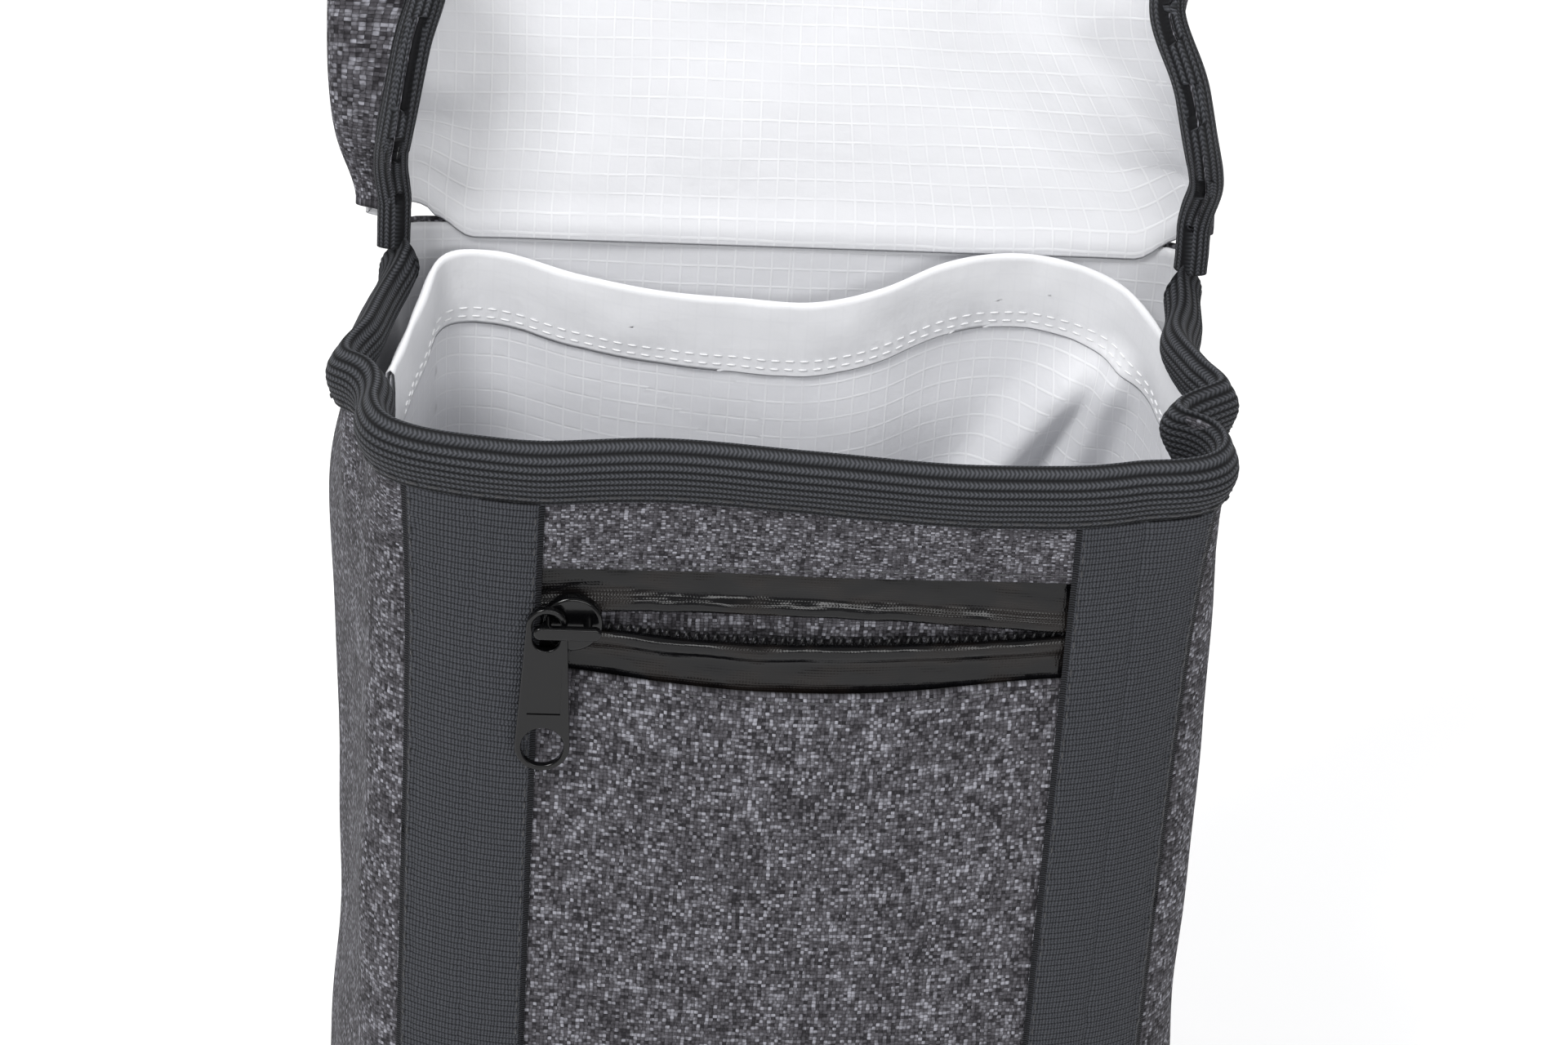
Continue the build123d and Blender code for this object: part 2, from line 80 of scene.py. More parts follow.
BASE_LOW, BASE_HIGH = node_box("base_panel")
FRONT_Y, BACK_Y = BASE_LOW[1], BASE_HIGH[1]
PANEL_FOOT, PANEL_TOP = (corner[2] for corner in node_box("front_panel"))
COIL_END = node_box("zip_coil_upper")[1][0]
LOOP_LOW, LOOP_HIGH = node_box("loop_tape_right")
ZIP_MIDDLE = (node_box("zip_slider")[0][2] + node_box("zip_slider")[1][2]) / 2
POCKET_LOW, POCKET_HIGH = node_box("zip_pocket_bag")
RETURN_EDGE = 119.5  # middle of the hood to a side wall's edge, along the cloth
WALL_TALL, LINING_TALL = 230, 226  # cut heights of the shell's wall and of its lining
LAYER_GAP = 0.25  # air between two layers of cloth
FOLD_ROLL = 4.4  # width of a folded binding that is spent on rolling over the edge
KNIT_RIB, LOOP_RIB = 1.42, 1.3  # from one rib to the next, on the knit and on the loop tape
RIPSTOP = (3.7, 3.9)  # the lining's grid, along and up the cloth
BROW_START, BROW_CURVE = 42, 70  # the flap's front: where its sides start to curve, and their radius
WEBBING_THREAD = ("black thread", (0.012, 0.012, 0.014))
HINGE = next(j for j in frame["joints"] if j["name"] == "flap_hinge")
FOLD = next(j for j in frame["joints"] if j["name"] == "flap_fold")


# --- Settings -------------------------------------------------------------------
def length(name, description, default):
    """A length in millimetres as a scene-unit property."""
    return bpy.props.FloatProperty(
        name=name, description=description, default=default * MM, subtype="DISTANCE", unit="LENGTH"
    )


def colour(name, description, default):
    """A colour property."""
    return bpy.props.FloatVectorProperty(
        name=name, description=description, default=default, size=3, min=0, max=1, subtype="COLOR"
    )


class BagBody(bpy.types.PropertyGroup):
    """Sizes of the bag's walls, mouth and lining."""

    front_width: length("Front width", "Across the front corners", 165)
    corner_radius: length("Corner radius", "Upright corners in plan", 14)
    brow_radius: length("Brow radius", "The front's wide curve before each corner", 50)
    brow_angle: bpy.props.FloatProperty(
        name="Brow angle",
        description="How far the wide curve turns",
        default=math.radians(35),
        subtype="ANGLE",
    )
    front_height: length("Front height", "Floor to the front's top edge", PANEL_TOP)
    mouth_rise: length("Mouth rise", "Climb of the mouth's edge from front to back", 4)
    outer: length("Outer fabric", "Thickness of the woven shell", 1.2)
    lining: length("Lining", "Thickness of the ripstop lining", 0.5)
    binding_height: length("Binding height", "Half the flat width of the folded binding", 11)
    binding_thick: length("Binding thickness", "One layer of the folded binding", 1.2)


class BagFlap(bpy.types.PropertyGroup):
    """Sizes of the flap."""

    hood_length: length("Hood length", "Part of the flap with side walls", 89)
    length: length("Flap length", "Hinge line to the free end", 223)
    hook_centre: length("Hook tape centre", "Hook tapes out from the middle", 66)
    hook_width: length("Hook tape width", "Width of a hook tape", 18)


class BagZip(bpy.types.PropertyGroup):
    """Sizes of the zip."""

    window_top: length("Window top", "Cut edge of the fabric above the middle of the zip", 11.0)
    window_foot: length("Window foot", "Lowest point of the cut edge below the middle", 14.6)
    tooth_pitch: length("Tooth pitch", "From one turn of the coil to the next", 1.85)


class BagColours(bpy.types.PropertyGroup):
    """Colours of the bag."""

    thread_dark: colour("Dark threads", "Darkest threads of the shell", (0.013, 0.012, 0.014))
    thread_mid: colour("Middle threads", "Most threads of the shell", (0.068, 0.065, 0.073))
    thread_light: colour("Light flecks", "Light flecks of the shell", (0.30, 0.30, 0.335))
    lining: colour("Lining", "Ripstop lining", (0.665, 0.67, 0.695))
    binding: colour("Binding", "Knitted elastic", (0.018, 0.019, 0.021))
    loop: colour("Loop tape", "Loop tape's pile", (0.005, 0.005, 0.006))
    coating: colour("Zip coating", "Glossy coating of the zip tapes", (0.003, 0.003, 0.0035))
    enamel: colour("Enamel", "Slider and puller", (0.0015, 0.0015, 0.0018))


class BagCamera(bpy.types.PropertyGroup):
    """The camera."""

    rise: bpy.props.FloatProperty(
        name="Rise", description="Camera above the horizontal", default=math.radians(28), subtype="ANGLE"
    )
    swing: bpy.props.FloatProperty(
        name="Swing", description="Camera round to the bag's left", default=math.radians(5), subtype="ANGLE"
    )
    roll: bpy.props.FloatProperty(
        name="Roll", description="Camera turned about its axis", default=math.radians(4), subtype="ANGLE"
    )
    lens: bpy.props.FloatProperty(
        name="Lens", description="Focal length", default=98.4, subtype="DISTANCE_CAMERA"
    )
    distance: length("Distance", "Camera to the front's top edge", 800)


GROUPS = {
    "bag_body": BagBody,
    "bag_flap": BagFlap,
    "bag_zip": BagZip,
    "bag_colours": BagColours,
    "bag_camera": BagCamera,
}


def settings(group):
    """One of the scene's settings groups."""
    return getattr(bpy.context.scene, group)


# --- Curves and surfaces --------------------------------------------------------
def smooth(t):
    """Ease from 0 to 1."""
    t = np.clip(t, 0, 1)
    return t * t * (3 - 2 * t)


def bump_at(x, centre, width):
    """A soft bump of height one."""
    return np.exp(-(((x - centre) / width) ** 2))


def thread(knots, values, t):
    """A smooth curve through values at knots; each value may differ from point to point."""
    knots = np.asarray(knots, float)
    values = np.array(np.broadcast_arrays(*values), float)
    slopes = np.gradient(values, knots, axis=0)
    t = np.broadcast_to(np.clip(t, knots[0], knots[-1]), np.broadcast_shapes(np.shape(t), values.shape[1:]))
    i = np.clip(np.searchsorted(knots, t, side="right") - 1, 0, len(knots) - 2)
    if values.ndim == 1:
        a, b, m, n = values[i], values[i + 1], slopes[i], slopes[i + 1]
    else:
        col = np.arange(values.shape[1])
        a, b, m, n = values[i, col], values[i + 1, col], slopes[i, col], slopes[i + 1, col]
    h = knots[i + 1] - knots[i]
    u = (t - knots[i]) / h
    return (
        (1 + 2 * u) * (1 - u) ** 2 * a
        + u * (1 - u) ** 2 * h * m
        + u * u * (3 - 2 * u) * b
        + u * u * (u - 1) * h * n
    )


def crumple(x, y, scale, seed, sharp=0.0):
    """Gentle creases over a surface, about one in size, the same every time."""
    rng = np.random.default_rng(seed)
    total = 0
    for _ in range(7):
        turn, wave = rng.uniform(0, math.pi), 2 * math.pi / (scale * rng.uniform(0.6, 1.7))
        along = x * math.cos(turn) + y * math.sin(turn)
        across = y * math.cos(turn) - x * math.sin(turn)
        phase = wave * along + 1.6 * np.sin(0.45 * wave * across + rng.uniform(0, 6)) + rng.uniform(0, 6)
        total = total + (1 - sharp) * np.sin(phase) + sharp * (1 - 2 * np.abs(np.sin(phase / 2)))
    return total / 7**0.5


class Outline:
    """The bag's plan by distance round it from the middle of the front, positive to the right."""

    def __init__(self):
        body = settings("bag_body")
        corner, brow = body.corner_radius / MM, body.brow_radius / MM
        half, turn = body.front_width / MM / 2, body.brow_angle
        flat = half - corner - (brow - corner) * math.sin(turn)
        corner_y = FRONT_Y + brow * (1 - math.cos(turn)) + corner * math.cos(turn)
        flare = math.atan2(BASE_HIGH[0] - half, BACK_Y - corner - corner_y)
        side = math.hypot(BASE_HIGH[0] - half, BACK_Y - corner - corner_y)
        self.runs = [
            (flat, 0),
            (brow * turn, 1 / brow),
            (corner * (math.pi / 2 - turn - flare), 1 / corner),
            (side, 0),
            (corner * (math.pi / 2 + flare), 1 / corner),
            (BASE_HIGH[0] - corner, 0),
        ]
        self.half = sum(run for run, _ in self.runs)
        self.marks = np.cumsum([0] + [run for run, _ in self.runs])

    def at(self, s):
        """Places and outward directions at distances round the plan."""
        far, sign = np.abs(s), np.where(s < 0, -1.0, 1.0)
        x, y, nx, ny = (np.zeros_like(far) for _ in range(4))
        px, py, heading = 0.0, FRONT_Y, 0.0
        for k, (run, bend) in enumerate(self.runs):
            here = (far >= self.marks[k]) if k == len(self.runs) - 1 else (far >= self.marks[k]) & (
                far < self.marks[k + 1]
            )
            t = far - self.marks[k]
            turned = heading + bend * t
            if bend:
                ax = px + (np.sin(turned) - math.sin(heading)) / bend
                ay = py + (math.cos(heading) - np.cos(turned)) / bend
                px, py = (
                    px + (math.sin(heading + bend * run) - math.sin(heading)) / bend,
                    py + (math.cos(heading) - math.cos(heading + bend * run)) / bend,
                )
            else:
                ax, ay = px + t * math.cos(heading), py + t * math.sin(heading)
                px, py = px + run * math.cos(heading), py + run * math.sin(heading)
            heading += bend * run
            x, y = np.where(here, ax, x), np.where(here, ay, y)
            nx, ny = np.where(here, np.sin(turned), nx), np.where(here, -np.cos(turned), ny)
        return sign * x, y, sign * nx, ny


def mouth_gather(s):
    """How far the elastic draws the mouth's edge in or lets it out, by distance round the plan."""
    left = thread(
        [0, 60, 80, 88, 97, 106, 119, 134, 142, 152, 163, 172, 241],
        [0, 0, 3.6, 1.6, -0.8, 3.4, -2.0, -7.0, -10.5, -8, -1, 0, 0],
        np.abs(s),
    )
    right = thread(
        [0, 60, 78, 85, 92, 104, 112, 124, 136, 144, 153, 163, 172, 241],
        [0, 0.5, 3.4, -3, -11, -3.5, -7.5, -12.0, -10.5, -10.5, -7, -1, 0, 0],
        np.abs(s),
    )
    return np.where(s < 0, left, right)


def edge_dip(s):
    """How far the front's top edge dips below a straight line."""
    places = [-90, -78, -50, -28, 0, 31, 47, 65, 80, 90]
    front = thread(places, [0, 0, -0.8, 0.5, -0.8, -3, -2.6, -1, 0, 0], s)
    return np.where(np.abs(s) < 90, front, 0)


def mouth_height(s, outline):
    """Height of the walls' top edge, under the binding."""
    body = settings("bag_body")
    y = outline.at(s)[1]
    climb = body.mouth_rise / MM * (y - FRONT_Y) / (BACK_Y - FRONT_Y)
    lobes = 1.2 * bump_at(np.abs(s), 100, 5) * np.where(s < 0, 1, 0.4)
    collar = 4.2 * smooth((np.abs(s) - 132) / 16)
    return body.front_height / MM - 1.2 + climb + edge_dip(s) + lobes + collar


def wall(s, z, out, outline):
    """A point of the bag's wall, by distance round, height and distance out from the outer face."""
    x, y, nx, ny = outline.at(s)
    top = mouth_height(s, outline)
    below = np.clip(top - z, 0, None)
    far, left = np.abs(s), s < 0
    gusset = smooth((far - 84) / 14) * smooth((165 - far) / 12)
    depth = np.where(left, 26.0, 30.0)
    shift = mouth_gather(s) * np.exp(-((below / depth) ** 1.6))
    shift = shift + gusset * np.where(left, 2.6, -1.5) * bump_at(below, 42, 26)
    shift = shift + gusset * 1.1 * np.sin((z - 20) / 27 + far / 17) * smooth(z / 40)
    lower = smooth(z / 30) * smooth((below - 8) / 30)
    sides = smooth((far - 78) / 12) * smooth((outline.half - far) / 20) * lower
    shift = shift + 0.45 * crumple(s, z, 46, 5) * sides
    shift = shift + 0.5 * bump_at(far, 240, 90) * np.sin(z / 38) * lower
    ridge = bump_at(far, 89, 5) * lower * 0.7
    shift = shift + ridge
    reach = shift + out
    return np.stack([x + nx * reach, y + ny * reach, z], -1)


def offset(shape, distance):
    """The same surface moved along its normal, found from near neighbours."""

    def moved(u, v):
        e = 0.4
        p = shape(u, v)
        du, dv = shape(u + e, v) - shape(u - e, v), shape(u, v + e) - shape(u, v - e)
        n = np.cross(du, dv)
        n /= np.maximum(np.linalg.norm(n, axis=-1, keepdims=True), 1e-9)
        d = distance(u, v) if callable(distance) else distance
        return p + n * np.asarray(d)[..., None]

    return moved


# --- Mesh making ----------------------------------------------------------------
def new_piece(name, mesh, body, material, replaced=()):
    """Link a finished mesh, ride it on its body and give it its finish."""
    piece = bpy.data.objects.new(name, mesh)
    bpy.context.scene.collection.objects.link(piece)
    mesh.materials.append(material)
    mesh.shade_smooth()
    if isinstance(body, str):
        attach(piece, body)
    else:
        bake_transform(piece)
    if replaced:
        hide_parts(*replaced)
    return piece


def cloth(shape, u_range, v_range, cells, thick=0.0, hole=None, ring=False, tube=False):
    """A mesh of a fabric surface: shape takes distances along and up the cloth, in millimetres."""
    mesh = bmesh.new()
    bmesh.ops.create_grid(mesh, x_segments=cells[0], y_segments=cells[1], size=0.5)
    flat = np.array([v.co[:2] for v in mesh.verts]) + 0.5
    u = u_range[0] + flat[:, 0] * (u_range[1] - u_range[0])
    v = v_range[0] + flat[:, 1] * (v_range[1] - v_range[0])
    places = shape(u, v)
    keep = mesh.verts.layers.float_vector.new("spot")
    for vert, place, uu, vv in zip(mesh.verts, places, u, v):
        vert[keep] = (uu, vv, 0)
        vert.co = Vector(place) * MM
    if hole is not None:
        cut = []
        for face in mesh.faces:
            mid = sum((vert[keep] for vert in face.verts), Vector()) / len(face.verts)
            if hole(mid.x, mid.y):
                cut.append(face)
        bmesh.ops.delete(mesh, geom=cut, context="FACES")
    layer = mesh.loops.layers.uv.new("cloth")

    def lay(faces):
        for face in faces:
            for loop in face.loops:
                loop[layer].uv = Vector(loop.vert[keep][:2]) * MM

    lay(mesh.faces)
    if ring or tube:
        bmesh.ops.remove_doubles(mesh, verts=mesh.verts[:], dist=4e-6)
    if tube:
        ends = [edge for edge in mesh.edges if edge.is_boundary]
        if ends:
            bmesh.ops.holes_fill(mesh, edges=ends, sides=0)
    if thick:
        before = set(mesh.faces)
        bmesh.ops.solidify(mesh, geom=mesh.faces[:], thickness=thick * MM)
        added = [face for face in mesh.faces if face not in before]
        lay([face for face in added if len({round(loop[layer].uv.x, 6) for loop in face.loops}) < 2])
    if (thick or tube) and mesh.calc_volume(signed=True) < 0:
        bmesh.ops.reverse_faces(mesh, faces=mesh.faces[:])
    return mesh


def finish_mesh(mesh, name):
    """A named mesh from a bmesh."""
    data = bpy.data.meshes.new(name)
    mesh.to_mesh(data)
    mesh.free()
    return data


def sheet(
    name, shape, u_range, v_range, cells, body, slot, material,
    replaced=(), held="stretched", rests=(), area=None, **how,
):
    """A piece of cloth."""
    data = finish_mesh(cloth(shape, u_range, v_range, cells, **how), name)
    piece = new_piece(name, data, body, material, replaced)
    layers = 2 if how.get("tube") else 1
    flat = (abs(u_range[1] - u_range[0]) * MM, abs(v_range[1] - v_range[0]) * MM / layers)
    return piece


def stitches(name, runs, body, material, long=2.2, wide=0.42, pitch=3.0):
    """Rows of short thread stitches along paths; each run is a surface and a path on it."""
    mesh = bmesh.new()
    for shape, path in runs:
        u, v = path
        places = shape(u, v)
        step = np.concatenate([[0], np.cumsum(np.linalg.norm(np.diff(places, axis=0), axis=1))])
        count = max(2, int(step[-1] // pitch))
        marks = np.linspace(0, step[-1], count + 1)[:-1] + pitch / 2
        uu, vv = np.interp(marks, step, u), np.interp(marks, step, v)
        e = 0.5
        here = shape(uu, vv)
        du, dv = shape(uu + e, vv) - here, shape(uu, vv + e) - here
        across = np.cross(du, dv)
        ahead = shape(np.interp(marks + 0.5, step, u), np.interp(marks + 0.5, step, v)) - shape(
            np.interp(marks - 0.5, step, u), np.interp(marks - 0.5, step, v)
        )
        for place, way, up in zip(here, ahead, across):
            way, up = Vector(way).normalized(), Vector(up).normalized()
            side = up.cross(way).normalized()
            up = way.cross(side)
            turn = Matrix((way, side, up)).transposed().to_4x4()
            size = Matrix.Diagonal((long / 2 * MM, wide / 2 * MM, wide / 2 * MM, 1))
            spot = Matrix.Translation(Vector(place) * MM)
            bmesh.ops.create_uvsphere(mesh, u_segments=8, v_segments=5, radius=1, matrix=spot @ turn @ size)
    bmesh.ops.recalc_face_normals(mesh, faces=mesh.faces[:])
    return new_piece(name, finish_mesh(mesh, name), body, material)


# --- Materials ------------------------------------------------------------------
class Wire:
    """A value in a node tree; sums and products of wires add Math nodes."""

    def __init__(self, bench, socket):
        self.bench, self.socket = bench, socket

    def _do(self, operation, *values):
        return self.bench.node("ShaderNodeMath", {"operation": operation}, *values)

    def __add__(self, other):
        return self._do("ADD", self, other)

    def __sub__(self, other):
        return self._do("SUBTRACT", self, other)

    def __rsub__(self, other):
        return self._do("SUBTRACT", other, self)

    def __mul__(self, other):
        return self._do("MULTIPLY", self, other)

    def __truediv__(self, other):
        return self._do("DIVIDE", self, other)

    __radd__, __rmul__ = __add__, __mul__

    def sine(self):
        """Sine of the value."""
        return self._do("SINE", self)

    def size(self):
        """The value without its sign."""
        return self._do("ABSOLUTE", self)

    def whole(self):
        """The whole part of the value."""
        return self._do("FLOOR", self)

    def part(self):
        """The fractional part of the value."""
        return self._do("FRACT", self)

    def raised(self, power):
        """The value to a power."""
        return self._do("POWER", self, power)

    def larger(self, other):
        """The larger of two values."""
        return self._do("MAXIMUM", self, other)

    def over(self, low, high):
        """Ease from 0 to 1 between two bounds."""
        settings = {"interpolation_type": "SMOOTHSTEP"}
        return self.bench.node("ShaderNodeMapRange", settings, self, low, high, 0.0, 1.0)


class Bench:
    """A material being made."""

    def __init__(self, name, **constants):
        self.material = bpy.data.materials.new(name)
        self.material.use_nodes = True
        self.tree = self.material.node_tree
        self.shader = self.tree.nodes["Principled BSDF"]
        for socket, value in constants.items():
            self.shader.inputs[socket.replace("_", " ")].default_value = value

    def node(self, kind, settings, *values):
        """A node of a type with its settings, and the values or wires of its inputs in order."""
        made = self.tree.nodes.new(kind)
        for name, value in settings.items():
            setattr(made, name, value)
        sockets = [socket for socket in made.inputs if socket.enabled]
        for socket, value in zip(sockets, values):
            if isinstance(value, Wire):
                self.tree.links.new(value.socket, socket)
            elif value is not None:
                socket.default_value = value
        outputs = [socket for socket in made.outputs if socket.enabled]
        return Wire(self, outputs[0])

    def cloth_place(self):
        """Distances along and up the cloth, in millimetres."""
        spot = self.node("ShaderNodeUVMap", {"uv_map": "cloth"})
        parts = self.tree.nodes.new("ShaderNodeSeparateXYZ")
        self.tree.links.new(spot.socket, parts.inputs[0])
        return Wire(self, parts.outputs[0]) / MM, Wire(self, parts.outputs[1]) / MM

    def solid_place(self):
        """Object coordinates, in millimetres."""
        place = Wire(self, self.tree.nodes.new("ShaderNodeTexCoord").outputs["Object"])
        return self.node("ShaderNodeVectorMath", {"operation": "SCALE"}, place, 1 / MM)

    def spot(self, x, y, z=0.0):
        """A vector from three values."""
        return self.node("ShaderNodeCombineXYZ", {}, x, y, z)

    def noise(self, place, scale=1.0, detail=2.0, roughness=0.5):
        """Smooth noise at a place."""
        return self.node("ShaderNodeTexNoise", {"noise_dimensions": "3D"}, place, scale, detail, roughness)

    def blend(self, factor, a, b):
        """Mix two colours."""
        made = self.tree.nodes.new("ShaderNodeMix")
        made.data_type = "RGBA"
        for socket, value in zip((made.inputs[0], made.inputs[6], made.inputs[7]), (factor, a, b)):
            if isinstance(value, Wire):
                self.tree.links.new(value.socket, socket)
            elif isinstance(value, (int, float)):
                socket.default_value = value
            else:
                socket.default_value = (*value, 1)
        return Wire(self, made.outputs[2])

    def relief(self, height, strength, distance):
        """A bump that feeds the shader's normal."""
        made = self.tree.nodes.new("ShaderNodeBump")
        made.inputs["Strength"].default_value = strength
        made.inputs["Distance"].default_value = distance * MM
        self.tree.links.new(height.socket, made.inputs["Height"])
        self.tree.links.new(made.outputs[0], self.shader.inputs["Normal"])

    def feed(self, **inputs):
        """Link wires to the shader's inputs."""
        for name, wire in inputs.items():
            self.tree.links.new(wire.socket, self.shader.inputs[name.replace("_", " ")])
        return self.material


def melange_material():
    """Plain weave of dark, grey and light threads."""
    if "melange fabric" in bpy.data.materials:
        return bpy.data.materials["melange fabric"]
    shades = settings("bag_colours")
    b = Bench(
        "melange fabric", Roughness=0.85, Sheen_Weight=0.03, Sheen_Roughness=0.5, Specular_IOR_Level=0.1
    )
    u, v = b.cloth_place()
    wobble = b.noise(b.spot(u * 0.22, v * 0.22)) - 0.5
    a, c = u / 0.78 + wobble * 1.1, v / 0.74 + wobble * 0.9
    parity = ((a.whole() + c.whole()) / 2).part() * 2
    warp, weft = (a * math.pi).sine().size(), (c * math.pi).sine().size()
    height = parity * warp * (0.55 + weft * 0.45) + (1 - parity) * weft * (0.55 + warp * 0.45)
    warp_shade = b.noise(b.spot(a.whole() * 3.7, v / 2.6), 1.0, 1.0)
    weft_shade = b.noise(b.spot(u / 2.2, c.whole() * 4.3, 7.0), 1.0, 1.0)
    shade = parity * warp_shade + (1 - parity) * weft_shade
    cloud = b.noise(b.spot(u / 9, v / 15, 3.0), 1.0, 3.0)
    grain = b.noise(b.spot(u * 1.9, v * 1.3, 9.0), 1.0, 2.0)
    shade = shade * 0.78 + cloud * 0.16 + grain * 0.16 - 0.05
    light = shade.over(0.47, 0.68).raised(1.3)
    dark = 1 - shade.over(0.36, 0.50)
    base = b.blend(dark * 0.85, shades.thread_mid, shades.thread_dark)
    base = b.blend(light, base, shades.thread_light)
    # Painted shade: the weave's hollows between threads are darkened towards near-black.
    painted_weave_shade = height.over(0.05, 0.6) * 0.55 + 0.45
    base = b.blend(1 - painted_weave_shade, base, (0.006, 0.006, 0.007))
    b.relief(height + grain * 0.3, 0.75, 0.22)
    return b.feed(Base_Color=base)


def from_line(value):
    """How far a value is from the nearest whole number."""
    return ((value.part() - 0.5).size() - 0.5).size()


def ripstop_material():
    """Thin white ripstop with a grid of thicker threads."""
    if "ripstop lining" in bpy.data.materials:
        return bpy.data.materials["ripstop lining"]
    shades = settings("bag_colours")
    b = Bench("ripstop lining", Roughness=0.42, Sheen_Weight=0.1, Specular_IOR_Level=0.4)
    u, v = b.cloth_place()
    wobble = b.noise(b.spot(u * 0.05, v * 0.05), 1.0, 2.0) - 0.5
    a, c = u / RIPSTOP[0] + wobble * 0.25, v / RIPSTOP[1] + wobble * 0.25
    line_u, line_v = from_line(a), from_line(c)
    fade = b.noise(b.spot(u / 11, v / 11, 4.0), 1.0, 2.0).over(0.3, 0.62) * 0.7 + 0.3
    ribs = (1 - line_u.over(0.02, 0.085)).larger(1 - line_v.over(0.02, 0.085)) * fade
    rim = (1 - line_u.over(0.07, 0.16)).larger(1 - line_v.over(0.07, 0.16)) * fade
    fine = b.noise(b.spot(u * 3.0, v * 3.0), 1.0, 1.0)
    base = b.blend(rim * 0.13, shades.lining, (0.54, 0.545, 0.58))
    base = b.blend(ribs * 0.5, base, (0.82, 0.825, 0.84))
    soft = b.noise(b.spot(u / 7, v / 7, 2.0), 1.0, 3.0)
    b.relief(ribs * 0.6 + fine * 0.12 + soft * 3.0, 0.35, 0.25)
    return b.feed(Base_Color=base)


def knit_material():
    """Dark knitted elastic with V stitches in rows."""
    if "knit binding" in bpy.data.materials:
        return bpy.data.materials["knit binding"]
    shades = settings("bag_colours")
    b = Bench("knit binding", Roughness=0.72, Sheen_Weight=0.03, Sheen_Roughness=0.45, Specular_IOR_Level=0.1)
    u, v = b.cloth_place()
    wobble = b.noise(b.spot(u * 0.3, v * 0.3)) - 0.5
    row = v / KNIT_RIB
    skew = (row.part() - 0.5).size() * 1.5
    stitch = ((u / 0.84 + skew + wobble * 0.35) * math.tau).sine() * 0.5 + 0.5
    rib = (row * math.pi).sine().size()
    height = rib * (0.45 + stitch * 0.55)
    fluff = b.noise(b.spot(u * 2.6, v * 2.6), 1.0, 2.0)
    # Painted highlight lightens the raised stitches, and painted shade darkens the grooves between the rows.
    lit = b.blend((height * 0.8 + fluff * 0.25).over(0.3, 1.0), shades.binding, (0.075, 0.078, 0.088))
    base = b.blend(1 - height.over(0.0, 0.5), lit, (0.007, 0.007, 0.008))
    b.relief(height + fluff * 0.3, 0.9, 0.3)
    return b.feed(Base_Color=base)


def loop_material():
    """Black loop tape: rows of pile with ladder selvedges."""
    if "loop tape" in bpy.data.materials:
        return bpy.data.materials["loop tape"]
    shades = settings("bag_colours")
    b = Bench("loop tape", Roughness=0.5, Sheen_Weight=0.02, Sheen_Roughness=0.35, Specular_IOR_Level=0.1)
    u, v = b.cloth_place()
    across = u.size()
    wobble = b.noise(b.spot(u * 0.3, v * 0.2), 1.0, 2.0) - 0.5
    rows = ((v - LOOP_LOW[2]) / LOOP_RIB * math.pi).sine().size()
    loops = ((u / 0.62 + wobble * 1.5) * math.pi).sine().size()
    ladder = ((v / 0.52) * math.pi).sine().size()
    edge = (across - LOOP_LOW[0]).over(0.9, 1.3) * (LOOP_HIGH[0] - across).over(0.9, 1.3)
    pile = rows * (0.55 + loops * 0.45)
    height = edge * pile + (1 - edge) * ladder * 0.6
    fluff = b.noise(b.spot(u * 1.6, v * 2.4), 1.0, 3.0)
    # Painted highlight: the raised pile is lightened; the same mask lowers the roughness there.
    shine = (height * 0.9 + fluff * 0.2).over(0.3, 1.05)
    base = b.blend(shine, shades.loop, (0.058, 0.061, 0.070))
    b.relief(height + fluff * 0.5, 0.9, 0.45)
    return b.feed(Base_Color=base, Roughness=0.62 - shine * 0.22)


def hook_material():
    """Black hook tape: a field of fine hooks."""
    b = Bench("hook tape", Roughness=0.45, Specular_IOR_Level=0.5)
    u, v = b.cloth_place()
    dots = (u / 0.8 * math.pi).sine().size() * (v / 0.8 * math.pi).sine().size()
    fluff = b.noise(b.spot(u * 1.5, v * 1.5), 1.0, 2.0)
    # Painted highlight: the tops of the hooks are lightened.
    base = b.blend(dots.over(0.35, 0.9), (0.006, 0.006, 0.007), (0.07, 0.07, 0.078))
    b.relief(dots + fluff * 0.3, 0.8, 0.4)
    return b.feed(Base_Color=base)


def coated_material():
    """Glossy coated zip tape with a fine pebble."""
    if "coated zip tape" in bpy.data.materials:
        return bpy.data.materials["coated zip tape"]
    shades = settings("bag_colours")
    b = Bench("coated zip tape", Roughness=0.16, Specular_IOR_Level=0.27)
    u, v = b.cloth_place()
    pebble = (u / 0.62 * math.pi).sine().size() * (v / 0.55 * math.pi).sine().size()
    waves = b.noise(b.spot(u / 6, v / 3), 1.0, 3.0)
    patch = b.noise(b.spot(u / 12, v / 6, 5.0), 1.0, 2.0).over(0.42, 0.68)
    b.relief(pebble * (0.25 + patch * 0.75) + waves * 3.0, 0.35, 0.16)
    # Painted reflection: brownish patches on the glossy tape; the same patches also vary the pebble and the
    # roughness.
    base = b.blend(patch * 0.5, shades.coating, (0.014, 0.010, 0.008))
    return b.feed(Base_Color=base, Roughness=0.13 + patch * 0.16)


def plain_material(name, base, roughness, mottle, grain, bump):
    """A smooth solid finish with slight mottling and wear."""
    if name in bpy.data.materials:
        return bpy.data.materials[name]
    b = Bench(name, Specular_IOR_Level=0.32)
    place = b.solid_place()
    fine = b.noise(place, 1 / grain, 3.0)
    broad = b.noise(place, 0.08, 2.0)
    shade = b.blend(fine * mottle, base, tuple(min(1.0, 2.2 * c + 0.003) for c in base))
    b.relief(fine, 0.25, bump)
    return b.feed(Base_Color=shade, Roughness=roughness + (broad - 0.5) * 0.12 + (fine - 0.5) * 0.08)


